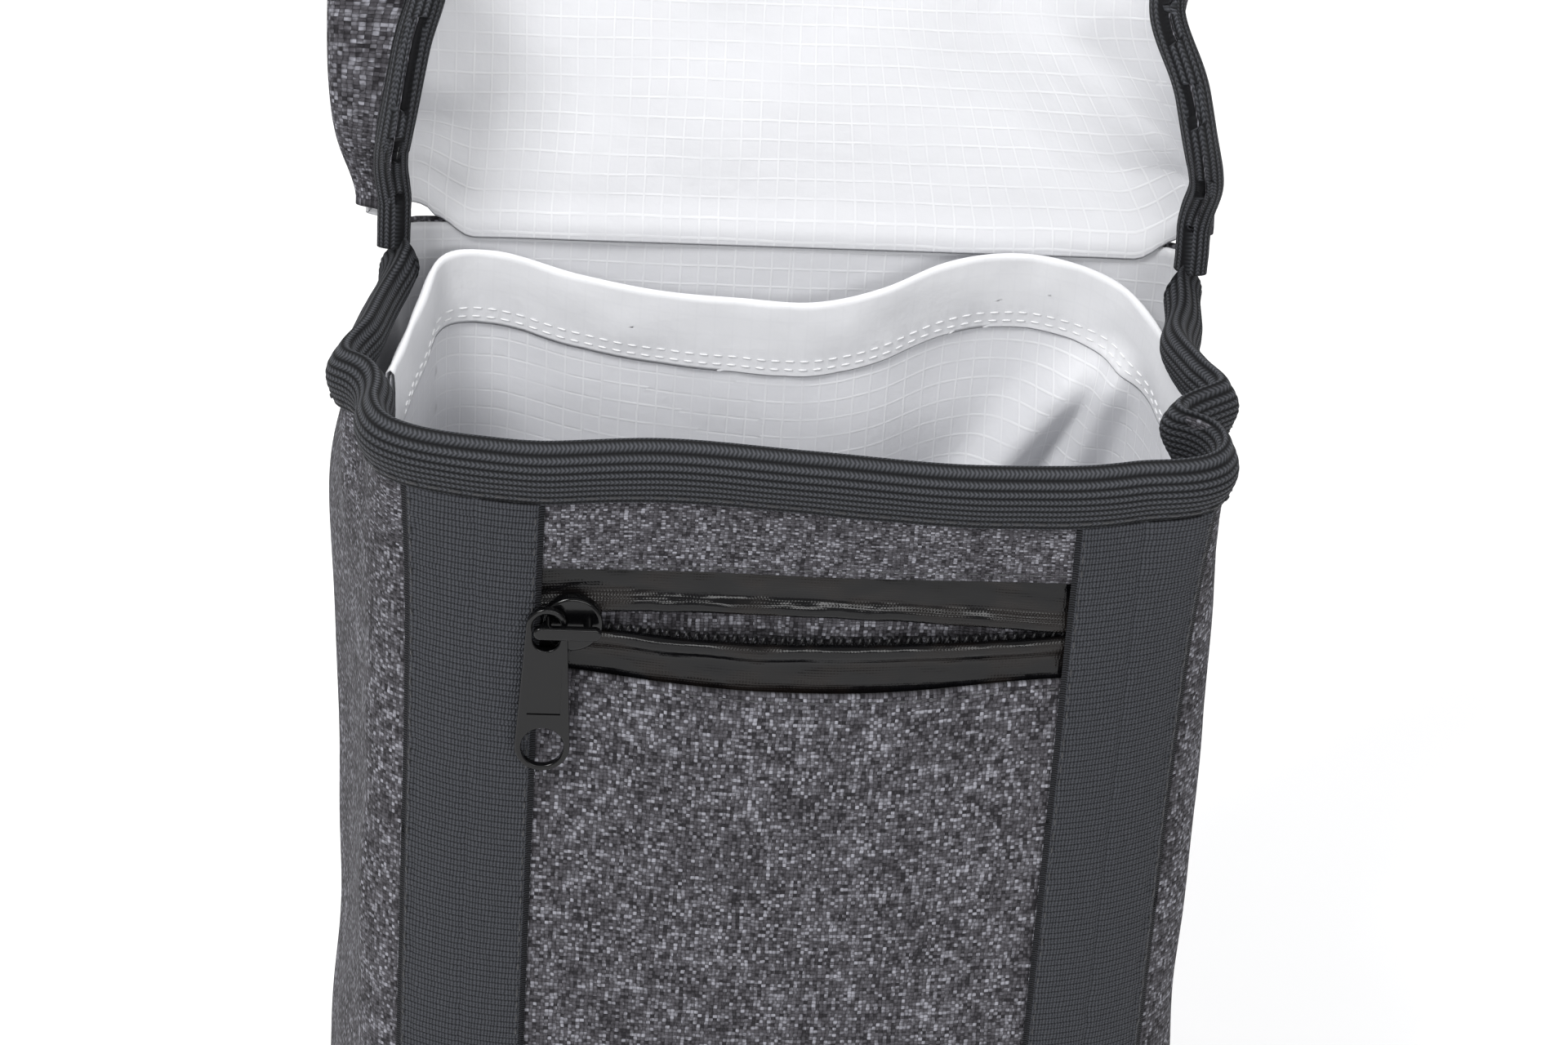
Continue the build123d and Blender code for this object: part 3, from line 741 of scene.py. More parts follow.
def thread_material(name, base):
    """Twisted sewing thread."""
    if name in bpy.data.materials:
        return bpy.data.materials[name]
    b = Bench(name, Roughness=0.6, Sheen_Weight=0.2)
    place = b.solid_place()
    twist = b.noise(place, 2.5, 2.0)
    b.relief(twist, 0.5, 0.1)
    return b.feed(Base_Color=b.blend(twist, base, tuple(min(1.0, c * 1.6 + 0.01) for c in base)))


# --- Operators ------------------------------------------------------------------
def plate(name, shape, cells, thick, material, replaced):
    """A flat sheet on the base board, lofted from its middle to the plan's edge."""
    half, rings, centre = Outline().half, 40, 0.004

    def spread(s, t):
        return shape(s, np.clip(t / rings, centre, 1))

    mesh = cloth(spread, (-half, half), (0, rings), cells, thick=thick, ring=True)
    for face in mesh.faces:
        for loop in face.loops:
            loop[mesh.loops.layers.uv["cloth"]].uv = loop.vert.co.xy
    piece = new_piece(name, finish_mesh(mesh, name), "bag", material, (replaced,))


class BAG_OT_shell(bpy.types.Operator):
    """Woven shell: one lofted wall with the zip's window, and the base"""

    bl_idname = "bag.shell"
    bl_label = "Woven shell"

    def execute(self, context):
        """Build the shell."""
        outline, body, zipper = Outline(), settings("bag_body"), settings("bag_zip")
        fabric = melange_material()
        foot, high = PANEL_FOOT, zipper.window_top / MM
        rows = 100
        edges = (round(0.72 * rows) / rows, round(0.82 * rows) / rows)
        window = COIL_END

        def shell(s, share):
            top = mouth_height(s, outline)
            slit_low = window_foot(s)
            slit_high = ZIP_MIDDLE + high + 0.5 * bump_at(s, -20, 22)
            z = np.where(
                share < edges[0],
                foot + (slit_low - foot) * share / edges[0],
                np.where(
                    share < edges[1],
                    slit_low + (slit_high - slit_low) * (share - edges[0]) / (edges[1] - edges[0]),
                    slit_high + (top - slit_high) * (share - edges[1]) / (1 - edges[1]),
                ),
            )
            return wall(s, z, window_lift(s, z), outline)

        data = finish_mesh(
            cloth(
                lambda s, t: shell(s, t / WALL_TALL),
                (-outline.half, outline.half),
                (0, WALL_TALL),
                (240, rows),
                thick=body.outer / MM,
                ring=True,
                hole=lambda s, t: abs(s) < window and edges[0] < t / WALL_TALL < edges[1],
            ),
            "bag_shell",
        )
        piece = new_piece(
            "bag_shell", data, "bag", fabric,
            ("front_panel", "left_gusset", "right_gusset", "back_panel"),
        )
        cut = 2 * outline.half * WALL_TALL - 2 * window * 24  # 24 is the window's mean height
        2 * outline.half * MM
        cut * MM * MM

        def floor(s, share):
            x, y, _, _ = outline.at(s)
            drop = 0.5 + 0.9 * smooth((share - 0.9) / 0.1) + 0.25 * crumple(x * share, y * share, 60, 3)
            return np.stack([x * share, y * share, np.clip(drop, 0.3, 1.5)], -1)

        plate("bag_base", floor, (240, 18), 0.9, fabric, "base_panel")
        return {"FINISHED"}


def window_foot(s):
    """Height of the window's lower cut edge, which rises towards its ends."""
    return ZIP_MIDDLE - settings("bag_zip").window_foot / MM + 4.6 * smooth(np.abs(s) / 56) ** 1.4


def window_lift(s, z):
    """How far the fabric round the zip stands out or tucks in."""
    near = bump_at(s, 0, 46)
    above = bump_at(z, ZIP_MIDDLE + 17, 7) * 0.5
    below = bump_at(z, ZIP_MIDDLE - 20, 9) * 0.9
    folds = 0.35 * np.sin((s + 0.6 * (z - 170)) / 7) * bump_at(z, ZIP_MIDDLE - 26, 12) * bump_at(s, -25, 18)
    return near * (above + below) + folds


class BAG_OT_lining(bpy.types.Operator):
    """Ripstop lining: one loose inner wall, the floor lining and the slip pocket with its hem"""

    bl_idname = "bag.lining"
    bl_label = "Lining and slip pocket"

    def execute(self, context):
        """Build the lining."""
        outline, body = Outline(), settings("bag_body")
        fabric = ripstop_material()

        def loose(s, z):
            """How far the lining stands in from the shell's outer face."""
            far, top = np.abs(s), mouth_height(s, outline)
            below = top - z
            free = smooth((below - 3) / 22) * smooth((z - 4) / 25)
            front = 1 - smooth((far - 60) / 14)
            pocket = front * smooth((z - POCKET_LOW[2] + 14) / 12) * smooth((POCKET_HIGH[2] + 9 - z) / 7)
            closing = smooth((outline.half - far) / 20)
            puff = 1.2 + closing * (0.9 * crumple(s, z, 62, 11) + 0.5 * crumple(s, z, 21, 12, 0.6))
            side = smooth((far - 92) / 14) * smooth((170 - far) / 14)
            bunch = side * np.where(s > 0, 5.0, 2.6) * bump_at(below, 34, 26)
            slant = np.sin((far - 0.45 * below) / np.where(s > 0, 5.2, 4.4)) * side
            back = smooth((far - 166) / 14)
            crease = closing * back * 0.7 * crumple(s, z * 0.6, 34, 17, 0.4)
            puff = np.clip(puff, 0, None) * (0.4 + 0.9 * side)
            inward = free * (puff + bunch + 1.1 * slant + np.clip(crease, 0, None))
            return body.outer / MM + LAYER_GAP + inward + 8.9 * pocket

        def inner(s, share):
            top, foot = mouth_height(s, outline) - 0.6, node_box("left_lining")[0][2]
            z = foot + (top - foot) * share
            return wall(s, z, -loose(s, z), outline)

        sheet(
            "lining_wall", lambda s, t: inner(s, t / LINING_TALL), (-outline.half, outline.half),
            (0, LINING_TALL), (240, 112), "bag", "ripstop_lining", fabric,
            ("front_lining", "left_lining", "right_lining", "back_lining"),
            held="hung", rests=["bag_shell"], thick=body.lining / MM, ring=True,
        )

        def floor(s, share):
            x, y, nx, ny = outline.at(s)
            inset = 2.2
            x, y = (x - nx * inset) * share, (y - ny * inset) * share
            z = node_box("base_lining")[0][2] + 0.15 + 0.3 * smooth(crumple(x, y, 40, 31) * 0.5 + 0.5)
            return np.stack([x, y, z], -1)

        plate("lining_floor", floor, (200, 16), 0.3, fabric, "base_lining")
        self.slip_pocket(fabric)
        return {"FINISHED"}

    def slip_pocket(self, fabric):
        """The slip pocket's sheet and its doubled hem."""
        knots = [-108, -96, -84, -72, -60, -42, -26, -10, 5, 20, 32, 46, 60, 74, 86, 98, 108]
        xs = [-80, -77.5, -74.5, -70.5, -61, -43, -27, -11, 4, 18, 30, 43, 55, 66, 71.5, 74.5, 77]
        ys = [2, 12, 23, 32, 34, 31.5, 29, 28, 27.5, 29, 33, 35.5, 35, 31, 22, 12, 2]
        tops = [
            222, 224, 227.5, 233, 233.5, 230, 228.2, 227.6, 227.4, 230.5, 234.5, 236, 235, 232, 229, 226, 223
        ]
        hem = 15.0

        def top_of(w):
            return thread(knots, tops, w)

        def place(w, z):
            top = top_of(w)
            below = np.clip(top - z, 0, None)
            x, y = thread(knots, xs, w), thread(knots, ys, w)
            slack = smooth(below / 60) * smooth(z / 90)
            y = y - 2.0 * slack * np.sin((w + 30) / 38) + 0.5 * crumple(w, z, 48, 41) * smooth(below / 25)
            ridge = bump_at(w + 0.75 * (below - 40), 52, 7)
            ridge = ridge * smooth((below - 10) / 18) * smooth((130 - below) / 60)
            second = bump_at(w + 0.4 * (below - 40), 68, 5.5)
            second = second * smooth((below - 8) / 14) * smooth((120 - below) / 50)
            y = y - 7.5 * ridge - 6.0 * second
            x = x - 2.5 * second * np.sign(w)
            x = x * (1 - 0.012 * slack)
            return np.stack([x, y, z], -1)

        def body_sheet(w, t):
            foot = node_box("inner_pocket")[0][2] + 1.0
            top = top_of(w) - 1.0
            return place(w, foot + (top - foot) * t / 165)

        sheet(
            "slip_pocket", body_sheet, (-108, 108), (0, 165), (120, 84), "bag", "ripstop_lining", fabric,
            ("inner_pocket",), held="hung", rests=["lining_wall"], thick=0.3,
        )

        def hem_section(w, t):
            """The hem is folded over the sheet: down in front, round the top and down behind."""
            along = t - hem - 0.8
            behind = smooth(along / 1.6 + 0.5)
            z = top_of(w) + 0.5 - np.abs(along)
            near = place(w, np.minimum(z, top_of(w)))
            x, y = near[..., 0], near[..., 1]
            dx = thread(knots, xs, w + 1) - thread(knots, xs, w - 1)
            dy = thread(knots, ys, w + 1) - thread(knots, ys, w - 1)
            run = np.hypot(dx, dy)
            nx, ny = dy / run, -dx / run
            arch = np.sin(np.clip(np.abs(along) / hem, 0, 1) * math.pi)
            puff = 0.55 + 0.5 * arch * (1 + 0.5 * crumple(w, z, 26, 43))
            puff = puff + 0.25 * np.abs(np.sin(w / 4.1 + 0.5 * np.sin(w / 9)))
            side = (1 - 2 * behind) * puff
            return np.stack([x + nx * side, y + ny * side, z], -1)

        sheet(
            "slip_pocket_hem", hem_section, (-108, 108), (0, 2 * hem + 1.6), (140, 44), "bag",
            "ripstop_lining", hem_material(), ("inner_pocket_hem",), held="folded", rests=["slip_pocket"],
            thick=0.3,
        )
        w = np.linspace(-100, 100, 160)
        rows = [(offset(hem_section, 0.12), (w, np.full_like(w, level))) for level in (1.3, 3.2)]
        stitches("slip_pocket_stitches", rows, "bag", thread_material("white thread", (0.75, 0.76, 0.78)),
                 long=2.0, wide=0.32, pitch=2.9)


def hem_material():
    """The lining folded double, whiter than one layer, with small puckers."""
    b = Bench("folded lining", Roughness=0.45, Sheen_Weight=0.1, Specular_IOR_Level=0.42)
    u, v = b.cloth_place()
    pucker = (u / 2.9 * math.pi).sine().size() * (1 - v.over(2.0, 6.5))
    soft = b.noise(b.spot(u / 5, v / 5), 1.0, 3.0)
    b.relief(pucker * 0.8 + soft * 1.6, 0.4, 0.3)
    line_u, line_v = from_line(u / RIPSTOP[0]), from_line(v / RIPSTOP[1])
    line = (1 - line_u.over(0.02, 0.09)).larger(1 - line_v.over(0.02, 0.09))
    return b.feed(Base_Color=b.blend(line * 0.12, (0.73, 0.735, 0.755), (0.63, 0.635, 0.66)))


def u_section(edge, high, thick, wall_thick):
    """A folded binding's closed section: out from the wall's face, and height below its top edge."""
    knots = [0, 0.8, 1.6, high, high + 2.2, high + 4.4, 2 * high + 2.8, 2 * high + 3.6, 2 * high + 4.4]
    outs = [0.05, 0.75 * thick, thick, thick, -wall_thick / 2, -wall_thick - thick, -wall_thick - thick,
            -wall_thick - 0.75 * thick, -wall_thick - 0.05]
    downs = [high, high + 0.1, high - 0.7, 1.4, -thick, 1.4, high - 0.7, high + 0.1, high]
    return thread(knots, outs, edge), thread(knots, downs, edge)


def wrap_section(t, total, high, thick, wall_thick, rib=0.0):
    """A binding's closed section: t runs over the outside, then back along the side that hugs the cloth."""
    behind = t > total
    turned = np.where(behind, 2 * total - t, t)
    outside = turned < total / 2
    out, down = u_section(turned, high, thick, wall_thick)
    if rib:
        ribs = rib * np.abs(np.sin(math.pi * turned / KNIT_RIB))
        out = out + np.where(outside, ribs, -ribs) * smooth(turned - 1.2) * smooth(total - 1.2 - turned)
    hug = np.where(outside, 0.05, -wall_thick - 0.05)
    return np.where(behind, hug, out), np.where(behind, np.clip(down, 0.4, None), down), outside


class BAG_OT_binding(bpy.types.Operator):
    """Knitted elastic folded over the mouth's edge"""

    bl_idname = "bag.binding"
    bl_label = "Mouth binding"

    def execute(self, context):
        """Build the binding."""
        outline, body = Outline(), settings("bag_body")
        high, thick = body.binding_height / MM, body.binding_thick / MM
        inside = 2.0
        reach = 149.0
        total = 2 * high + FOLD_ROLL

        def band(s, t):
            out, down, outside = wrap_section(t, total, high, thick, inside, rib=0.16)
            ripple = 0.35 * crumple(s, 0 * s, 17, 8) * smooth(down / 8)
            z = mouth_height(s, outline) - down + 0.15 * ripple
            wave = 0.35 * np.sin(s / 6.3 + 0.8 * np.sin(s / 17))
            wave = wave * smooth((down - 5) / 8) * outside
            return wall(s, z, out + np.clip(wave, -0.05, 1), outline)

        sheet(
            "mouth_elastic", band, (-reach, reach), (0, 2 * total), (330, 156), "bag", "knit_binding",
            knit_material(), ("mouth_binding",), held="folded", rests=["bag_shell"],
            area=2 * reach * total * MM * MM, tube=True,
        )
        s = np.linspace(-146, 146, 320)
        stitches(
            "mouth_stitches", [(offset(band, 0.08), (s, np.full_like(s, 2.3)))], "bag",
            thread_material(*WEBBING_THREAD), long=2.6, wide=0.5, pitch=4.2,
        )
        return {"FINISHED"}


class BAG_OT_loops(bpy.types.Operator):
    """Loop tapes sewn down the front"""

    bl_idname = "bag.loop_tapes"
    bl_label = "Loop tapes"

    def execute(self, context):
        """Build the loop tapes."""
        outline = Outline()
        low, high = LOOP_LOW, LOOP_HIGH
        fabric = loop_material()
        inner, outer = low[0], high[0]
        for side, sign in (("left", -1), ("right", 1)):

            def tape(u, z, sign=sign):
                far = np.abs(u)
                s = np.sign(u) * self.round_from_x(far, outline)
                top = mouth_height(s, outline) - 10.8
                zz = low[2] + (z - low[2]) * (top - low[2]) / (high[2] - low[2])
                edge = smooth((far - inner - 0.9) / 0.5) * smooth((outer - 0.9 - far) / 0.5)
                rows = np.abs(np.sin(math.pi * (z - low[2]) / LOOP_RIB))
                seam = 1 - 0.45 * bump_at(far, (inner + outer) / 2, 0.6)
                pull = 0.3 * bump_at(far, outer - 2.6, 0.7) * (0.5 + 0.5 * np.sin(zz / 1.5))
                rise = 0.55 + edge * seam * (0.32 + 0.42 * rows) - pull + 0.1
                return wall(s, zz, window_lift(s, zz) + rise, outline)

            lo, hi = (inner, outer) if sign > 0 else (-outer, -inner)
            sheet(
                f"loop_strip_{side}", tape, (lo, hi), (low[2], high[2]), (40, 984), "bag", "loop_tape",
                fabric, (f"loop_tape_{side}",), held="stretched", rests=["bag_shell"], thick=0.5,
            )
            z = np.linspace(low[2] + 2, high[2] - 2, 200)
            rows = [(offset(tape, 0.10), (np.full_like(z, sign * x), z)) for x in (inner + 1.6, outer - 1.6)]
            stitches(f"loop_stitches_{side}", rows, "bag", thread_material(*WEBBING_THREAD),
                     long=2.0, wide=0.35, pitch=3.1)
        return {"FINISHED"}

    def round_from_x(self, x, outline):
        """Distance round the plan for a distance out from the middle, on the front."""
        table = np.linspace(0, outline.marks[3], 400)
        return np.interp(x, outline.at(table)[0], table)


class BAG_OT_zip(bpy.types.Operator):
    """Zip tapes, coils and the fabric of the pocket behind them"""

    bl_idname = "bag.zip"
    bl_label = "Zip and pocket"

    def lips(self, x):
        """Heights of the two rows of teeth above the middle of the zip."""
        places = [-57, -50, -38, -13, 10, 37, 53, 57]
        upper = thread(places, [0.4, 0.8, 1.7, 2.0, 1.6, 0.4, -0.3, -0.3], x)
        lower = thread(places, [-0.8, -1.2, -2.3, -4.4, -4.3, -2.6, -1.0, -0.8], x)
        return upper, lower

    def execute(self, context):
        """Build the zip."""
        outline, zipper = Outline(), settings("bag_zip")
        glossy = coated_material()
        pitch = zipper.tooth_pitch / MM
        teeth = plain_material("zip teeth", (0.012, 0.012, 0.013), 0.28, mottle=0.4, grain=0.6, bump=0.05)
        half = node_box("zip_tape_upper")[1][0]
        wide = 13.0
        for row, sign in (("upper", 1), ("lower", -1)):

            def tape(x, t, sign=sign):
                """t runs from the teeth's edge out to the hem behind the fabric."""
                lip = self.lips(x)[0 if sign > 0 else 1]
                z = ZIP_MIDDLE + lip + sign * np.clip(t, 0, None)
                roll = 1.15 * bump_at(t, 1.5, 1.7)
                tuck = -0.9 * smooth((0.7 - t) / 1.4)
                ticks = 0.10 * np.abs(np.sin(math.pi * x / pitch)) * bump_at(t, 2.7, 0.5)
                sag = 0.55 * bump_at(t, 7.5, 3.5) * bump_at(x, 5, 34)
                sag = sag + 0.12 * crumple(x, t * 2, 14, 70 + sign)
                hidden = smooth((t - wide + 2.5) / 2)
                out = -1.75 + roll + tuck + ticks + sag - 0.25 * hidden
                return wall(x, z, out + window_lift(x, ZIP_MIDDLE + sign * 15) * 0.5, outline)

            span = (-half, half) if sign > 0 else (half, -half)
            sheet(
                f"zip_strip_{row}", tape, span, (0, wide + 3.0), (140, 40), "bag", "coated_zip_tape", glossy,
                (f"zip_tape_{row}",), held="stretched", rests=["bag_shell"], thick=0.35,
            )
            self.coil(row, sign, teeth)

        low, high = POCKET_LOW, POCKET_HIGH

        def pouch(x, z):
            mid, tall, broad = (low[2] + high[2]) / 2, (high[2] - low[2]) / 2 - 1, high[0] - 1
            sides = 1 - smooth((np.abs(x) / broad - 0.82) / 0.18)
            ends = 1 - smooth((np.abs(z - mid) / tall - 0.85) / 0.15)
            near = 1.2 * bump_at(z, ZIP_MIDDLE - 1, 6)
            y = FRONT_Y + 1.9 + sides * ends * (3.2 - near + 0.4 * crumple(x, z, 30, 77))
            return np.stack([x, y, z], -1)

        sheet(
            "zip_pouch", pouch, (low[0] + 1, high[0] - 1), (low[2] + 1, high[2] - 1), (72, 60), "bag",
            "melange_fabric", melange_material(), ("zip_pocket_bag",), held="hung", rests=["bag_shell"],
            thick=0.5,
        )
        x = np.linspace(-50, 50, 120)
        cord = thread_material("grey thread", (0.03, 0.03, 0.034))

        def beside(x, z):
            return wall(x, z, window_lift(x, z) + 0.05, outline)

        rows = [
            (beside, (x, ZIP_MIDDLE + zipper.window_top / MM + 1.6 + 0 * x)),
            (beside, (x, window_foot(x) - 1.6)),
        ]
        stitches("zip_stitches", rows, "bag", cord, long=1.9, wide=0.34, pitch=2.8)
        return {"FINISHED"}

    def coil(self, row, sign, finish):
        """One row of teeth: a flattened coil behind the tape's edge."""
        pitch = settings("bag_zip").tooth_pitch / MM
        low, high = node_box(f"zip_coil_{row}")
        turns = int((high[0] - low[0] - 1) / pitch)
        per = 14

        def coil(a, ring):
            turn = a * math.tau
            x = low[0] + 1 + a * pitch
            lip = self.lips(x)[0 if sign > 0 else 1]
            cz, cy = 1.0 * np.cos(turn), 0.62 * np.sin(turn)
            around = ring / 6 * math.tau
            thick = 0.27
            z = ZIP_MIDDLE + lip + sign * 0.25 + cz * (1 + thick * np.cos(around))
            y = FRONT_Y + 2.75 + cy * (1 + thick * 1.6 * np.cos(around))
            return np.stack([x + thick * 1.2 * np.sin(around), y, z], -1)

        mesh = cloth(coil, (0, turns), (0, 6), (turns * per, 6), tube=True)
        name = f"teeth_{row}"
        new_piece(name, finish_mesh(mesh, name), "bag", finish, (f"zip_coil_{row}",))


class BAG_OT_flap(bpy.types.Operator):
    """Flap: hood with side walls, front, linings, bindings and hook tapes"""

    bl_idname = "bag.flap"
    bl_label = "Flap"

    def axes(self):
        """The open flap's hinge point, its way up and its way forward."""
        low = np.array(HINGE["pos_m"]) / MM
        high = np.array(FOLD["pos_m"]) / MM
        up = (high - low) / np.linalg.norm(high - low)
        return low, up, np.array([0.0, -up[2], up[1]])

    def section(self, w, d):
        """Half the flap's section: out from the middle and forward, for a signed distance across."""
        far, left = np.abs(w), w < 0
        knots = [0, 36, 66, 74, 91, 100, 108.5, RETURN_EDGE]
        d_in = np.clip(d, 0, 89)
        fold_left = thread([0, 20, 45, 70, 89], [70, 69, 69.5, 72, 72], d_in)
        fold_right = thread([0, 20, 45, 70, 89], [75, 66, 55, 66, 72], d_in)
        edge_left = thread([0, 8, 33, 46, 65, 89], [80, 81, 78, 75, 80, 91], d_in)
        edge_right = thread([0, 12, 30, 46, 65, 89], [79, 80, 75, 69, 76, 91], d_in)
        wide_left = thread([0, 16, 46, 65, 89], [88, 92, 93.5, 92, 92], d_in)
        wide_right = thread([0, 16, 46, 65, 89], [84.5, 84, 75, 82, 92], d_in)
        fold, edge, wide = (
            np.where(left, a, b)
            for a, b in ((fold_left, fold_right), (edge_left, edge_right), (wide_left, wide_right))
        )
        calm = smooth((d_in - 50) / 39)
        xs = [0 * d, 0.53 * fold, fold - 4, fold + 4, wide - 2, wide, edge + 3, edge]
        fs = [
            0 * d, 0 * d, 0.6 + 0 * d, 2.2 + 1.5 * calm,
            9 + 0 * d, 17.5 - 2 * calm, 23 - 3 * calm, 33.5 - 6 * calm,
        ]
        deep = 0.45 + 0.55 * smooth((d_in + 2) / 36)
        fs = [f * deep for f in fs]
        return np.sign(w) * thread(knots, xs, far), thread(knots, fs, far)

    def front_section(self, w):
        """The flap's front: flat in the middle with curved sides."""
        far = np.clip(np.abs(w) - BROW_START, 0, None)
        turn = far / BROW_CURVE
        x = np.where(far > 0, BROW_START + BROW_CURVE * np.sin(turn), np.abs(w))
        return np.sign(w) * x, BROW_CURVE * (1 - np.cos(turn))

    def hood(self, w, d):
        """A point of the hood's outer face."""
        low, up, ahead = self.axes()
        x, f = self.section(w, d)
        x2, f2 = self.front_section(np.clip(w, -91, 91))
        over = np.clip(np.abs(w) - 91, 0, None)
        x2, f2 = x2 + np.sign(w) * over * 0.16, f2 + over * 0.62
        mix = smooth((d - 52) / 36)
        x, f = x + (x2 - x) * mix, f + (f2 - f) * mix
        f = f - 1.2 * bump_at(w, 0, 60) * np.sin(math.pi * np.clip(d / 100, 0, 1))
        f = f + 0.45 * crumple(w, d, 55, 90) * smooth(d / 12)
        slant = 0.9 * np.clip(crumple(w + 0.8 * d, d, 26, 91, 0.5), -1, 1.4)
        f = f + slant * smooth((np.abs(w) - 55) / 20) * smooth(d / 14)
        near = 1 - smooth(d / 40)
        d = d - f * up[1] / up[2] * near + 6.5 * smooth((np.abs(w) - 64) / 14) * (1 - smooth(d / 26))
        place = low + np.clip(d, 0, None)[..., None] * up + f[..., None] * ahead
        place[..., 0] = x
        place[..., 1] -= smooth(-d / 4) * 0.8
        place[..., 2] += np.clip(d, None, 0)
        return place

    def front(self, w, d):
        """A point of the outer face of the flap's front."""
        low, up, ahead = self.axes()
        x, f = self.front_section(w)
        f = f - 1.2 * bump_at(w, 0, 60) * np.sin(math.pi * np.clip(d / 100, 0, 1)) * (d < 100)
        f = f + 0.6 * crumple(w, d, 60, 95) * smooth((d - 100) / 30) * (1 - 0.4 * smooth((d - 200) / 20))
        place = low + d[..., None] * up + f[..., None] * ahead
        place[..., 0] = x
        return place

    def execute(self, context):
        """Build the flap."""
        body, flap = settings("bag_body"), settings("bag_flap")
        low, up, _ = self.axes()
        outer, lining = body.outer / MM, body.lining / MM
        hood_end, end = flap.hood_length / MM, flap.length / MM
        turn = ("bag", "flap_top", tuple((low - 2.6 * up) * MM), tuple((low + 2.6 * up) * MM))
        crease = np.array(FOLD["pos_m"]) / MM
        bend = ("flap_top", "flap_front", tuple((crease - 2.8 * up) * MM), tuple((crease + 2.8 * up) * MM))
        fabric, inside, knit = melange_material(), ripstop_material(), knit_material()
        cross = 91.5

        face_run, gap = (hood_end - 1.5, end), outer + LAYER_GAP
        sheet(
            "flap_hood", self.hood, (RETURN_EDGE, -RETURN_EDGE), (-2, hood_end), (150, 64), turn,
            "melange_fabric", fabric, ("flap_top_panel", "flap_return_left", "flap_return_right"),
            held="stretched", thick=outer,
        )
        sheet(
            "flap_hood_lining", offset(self.hood, lambda w, d: gap + 1.2 * smooth((3 - d) / 7)),
            (RETURN_EDGE - 1, 1 - RETURN_EDGE), (-4.5, hood_end), (150, 66), turn, "ripstop_lining", inside,
            ("flap_top_lining",), held="stretched", rests=["flap_hood"], thick=lining,
        )
        sheet(
            "flap_face", self.front, (cross, -cross), face_run, (110, 84), bend, "melange_fabric", fabric,
            ("flap_front_panel",), held="stretched", thick=outer,
        )
        sheet(
            "flap_face_lining", offset(self.front, gap), (cross, -cross), face_run, (110, 84), bend,
            "ripstop_lining", inside, ("flap_front_lining",), held="stretched", rests=["flap_face"],
            thick=lining,
        )

        high, thick, deep = body.binding_height / MM, body.binding_thick / MM, 1.9
        total = 2 * high + FOLD_ROLL

        def bound(surface, path):
            """A binding wrapped over a surface's edge; path gives the edge and the way in from it."""

            def band(a, t):
                out, down, _ = wrap_section(t, total, high, thick, deep)
                w, d = path(a, down)
                return offset(surface, -out)(w, d)

            return band

        for side, sign in (("left", -1), ("right", 1)):
            run = (-9, hood_end) if sign < 0 else (hood_end, -9)

            def hem(a, down, sign=sign):
                return sign * (RETURN_EDGE - down), a

            sheet(
                f"hood_elastic_{side}", bound(self.hood, hem), run, (0, 2 * total), (110, 156), turn,
                "knit_binding", knit, (f"flap_side_binding_{side}",), held="folded", rests=["flap_hood"],
                area=(hood_end + 9) * total * MM * MM, tube=True,
            )

        turn_in = 3.0

        def rim(a, down):
            """Down one side of the front, across the end and up the other side."""
            side_run, across = end - hood_end - turn_in, cross - turn_in
            arc = turn_in * math.pi / 2
            marks = np.cumsum([0, side_run, arc, 2 * across, arc])
            k = np.clip(np.searchsorted(marks, a, side="right") - 1, 0, 4)
            t = a - marks[k]
            angle = t / turn_in
            left, foot = (turn_in - down) * np.cos(angle), (turn_in - down) * np.sin(angle)
            corner = end - turn_in
            w = np.choose(k, [cross - down, across + left, across - t, -across - foot, -cross + down])
            d = np.choose(k, [hood_end + t, corner + foot, end - down + 0 * t, corner + left, corner - t])
            return w, d

        whole = 2 * (end - hood_end - turn_in) + 2 * (cross - turn_in) + turn_in * math.pi
        sheet(
            "face_elastic", bound(self.front, rim), (whole, 0), (0, 2 * total), (360, 120), bend,
            "knit_binding", knit, ("flap_front_binding",), held="folded", rests=["flap_face"],
            area=whole * total * MM * MM, tube=True,
        )

        hook = hook_material()
        hooks_low, hooks_high = node_box("hook_tape_left")
        first = (hooks_low[2] - low[2]) / up[2] + 1
        last = (hooks_high[2] - low[2]) / up[2] - 1
        middle, wide = flap.hook_centre / MM, flap.hook_width / MM
        for side, sign in (("left", -1), ("right", 1)):
            around = BROW_START + BROW_CURVE * math.asin((middle - BROW_START) / BROW_CURVE)
            lo, hi = sign * around - wide / 2, sign * around + wide / 2
            proud = outer + lining + 1.6
            sheet(
                f"hook_strip_{side}", offset(self.front, proud), (lo, hi), (first, last), (36, 150),
                "flap_front", "hook_tape", hook, (f"hook_tape_{side}",), held="stretched",
                rests=["flap_face_lining"], thick=1.0,
            )
        return {"FINISHED"}


class BAG_OT_metal(bpy.types.Operator):
    """Finishes for the slider, its bridge, the puller and the base board"""

    bl_idname = "bag.metal"
    bl_label = "Slider and puller finish"

    def execute(self, context):
        """Assign the finishes."""
        shades = settings("bag_colours")
        enamel = plain_material("black enamel", tuple(shades.enamel), 0.14, mottle=0.25, grain=0.9, bump=0.03)
        board = plain_material("stiffener board", (0.35, 0.33, 0.30), 0.8, mottle=0.5, grain=2.0, bump=0.2)
        finishes = {"zip_slider": enamel, "slider_bridge": enamel, "zip_puller": enamel, "base_board": board}
        for node, finish in finishes.items():
            for slot in frame["nodes"][node].material_slots:
                slot.material = finish
        return {"FINISHED"}


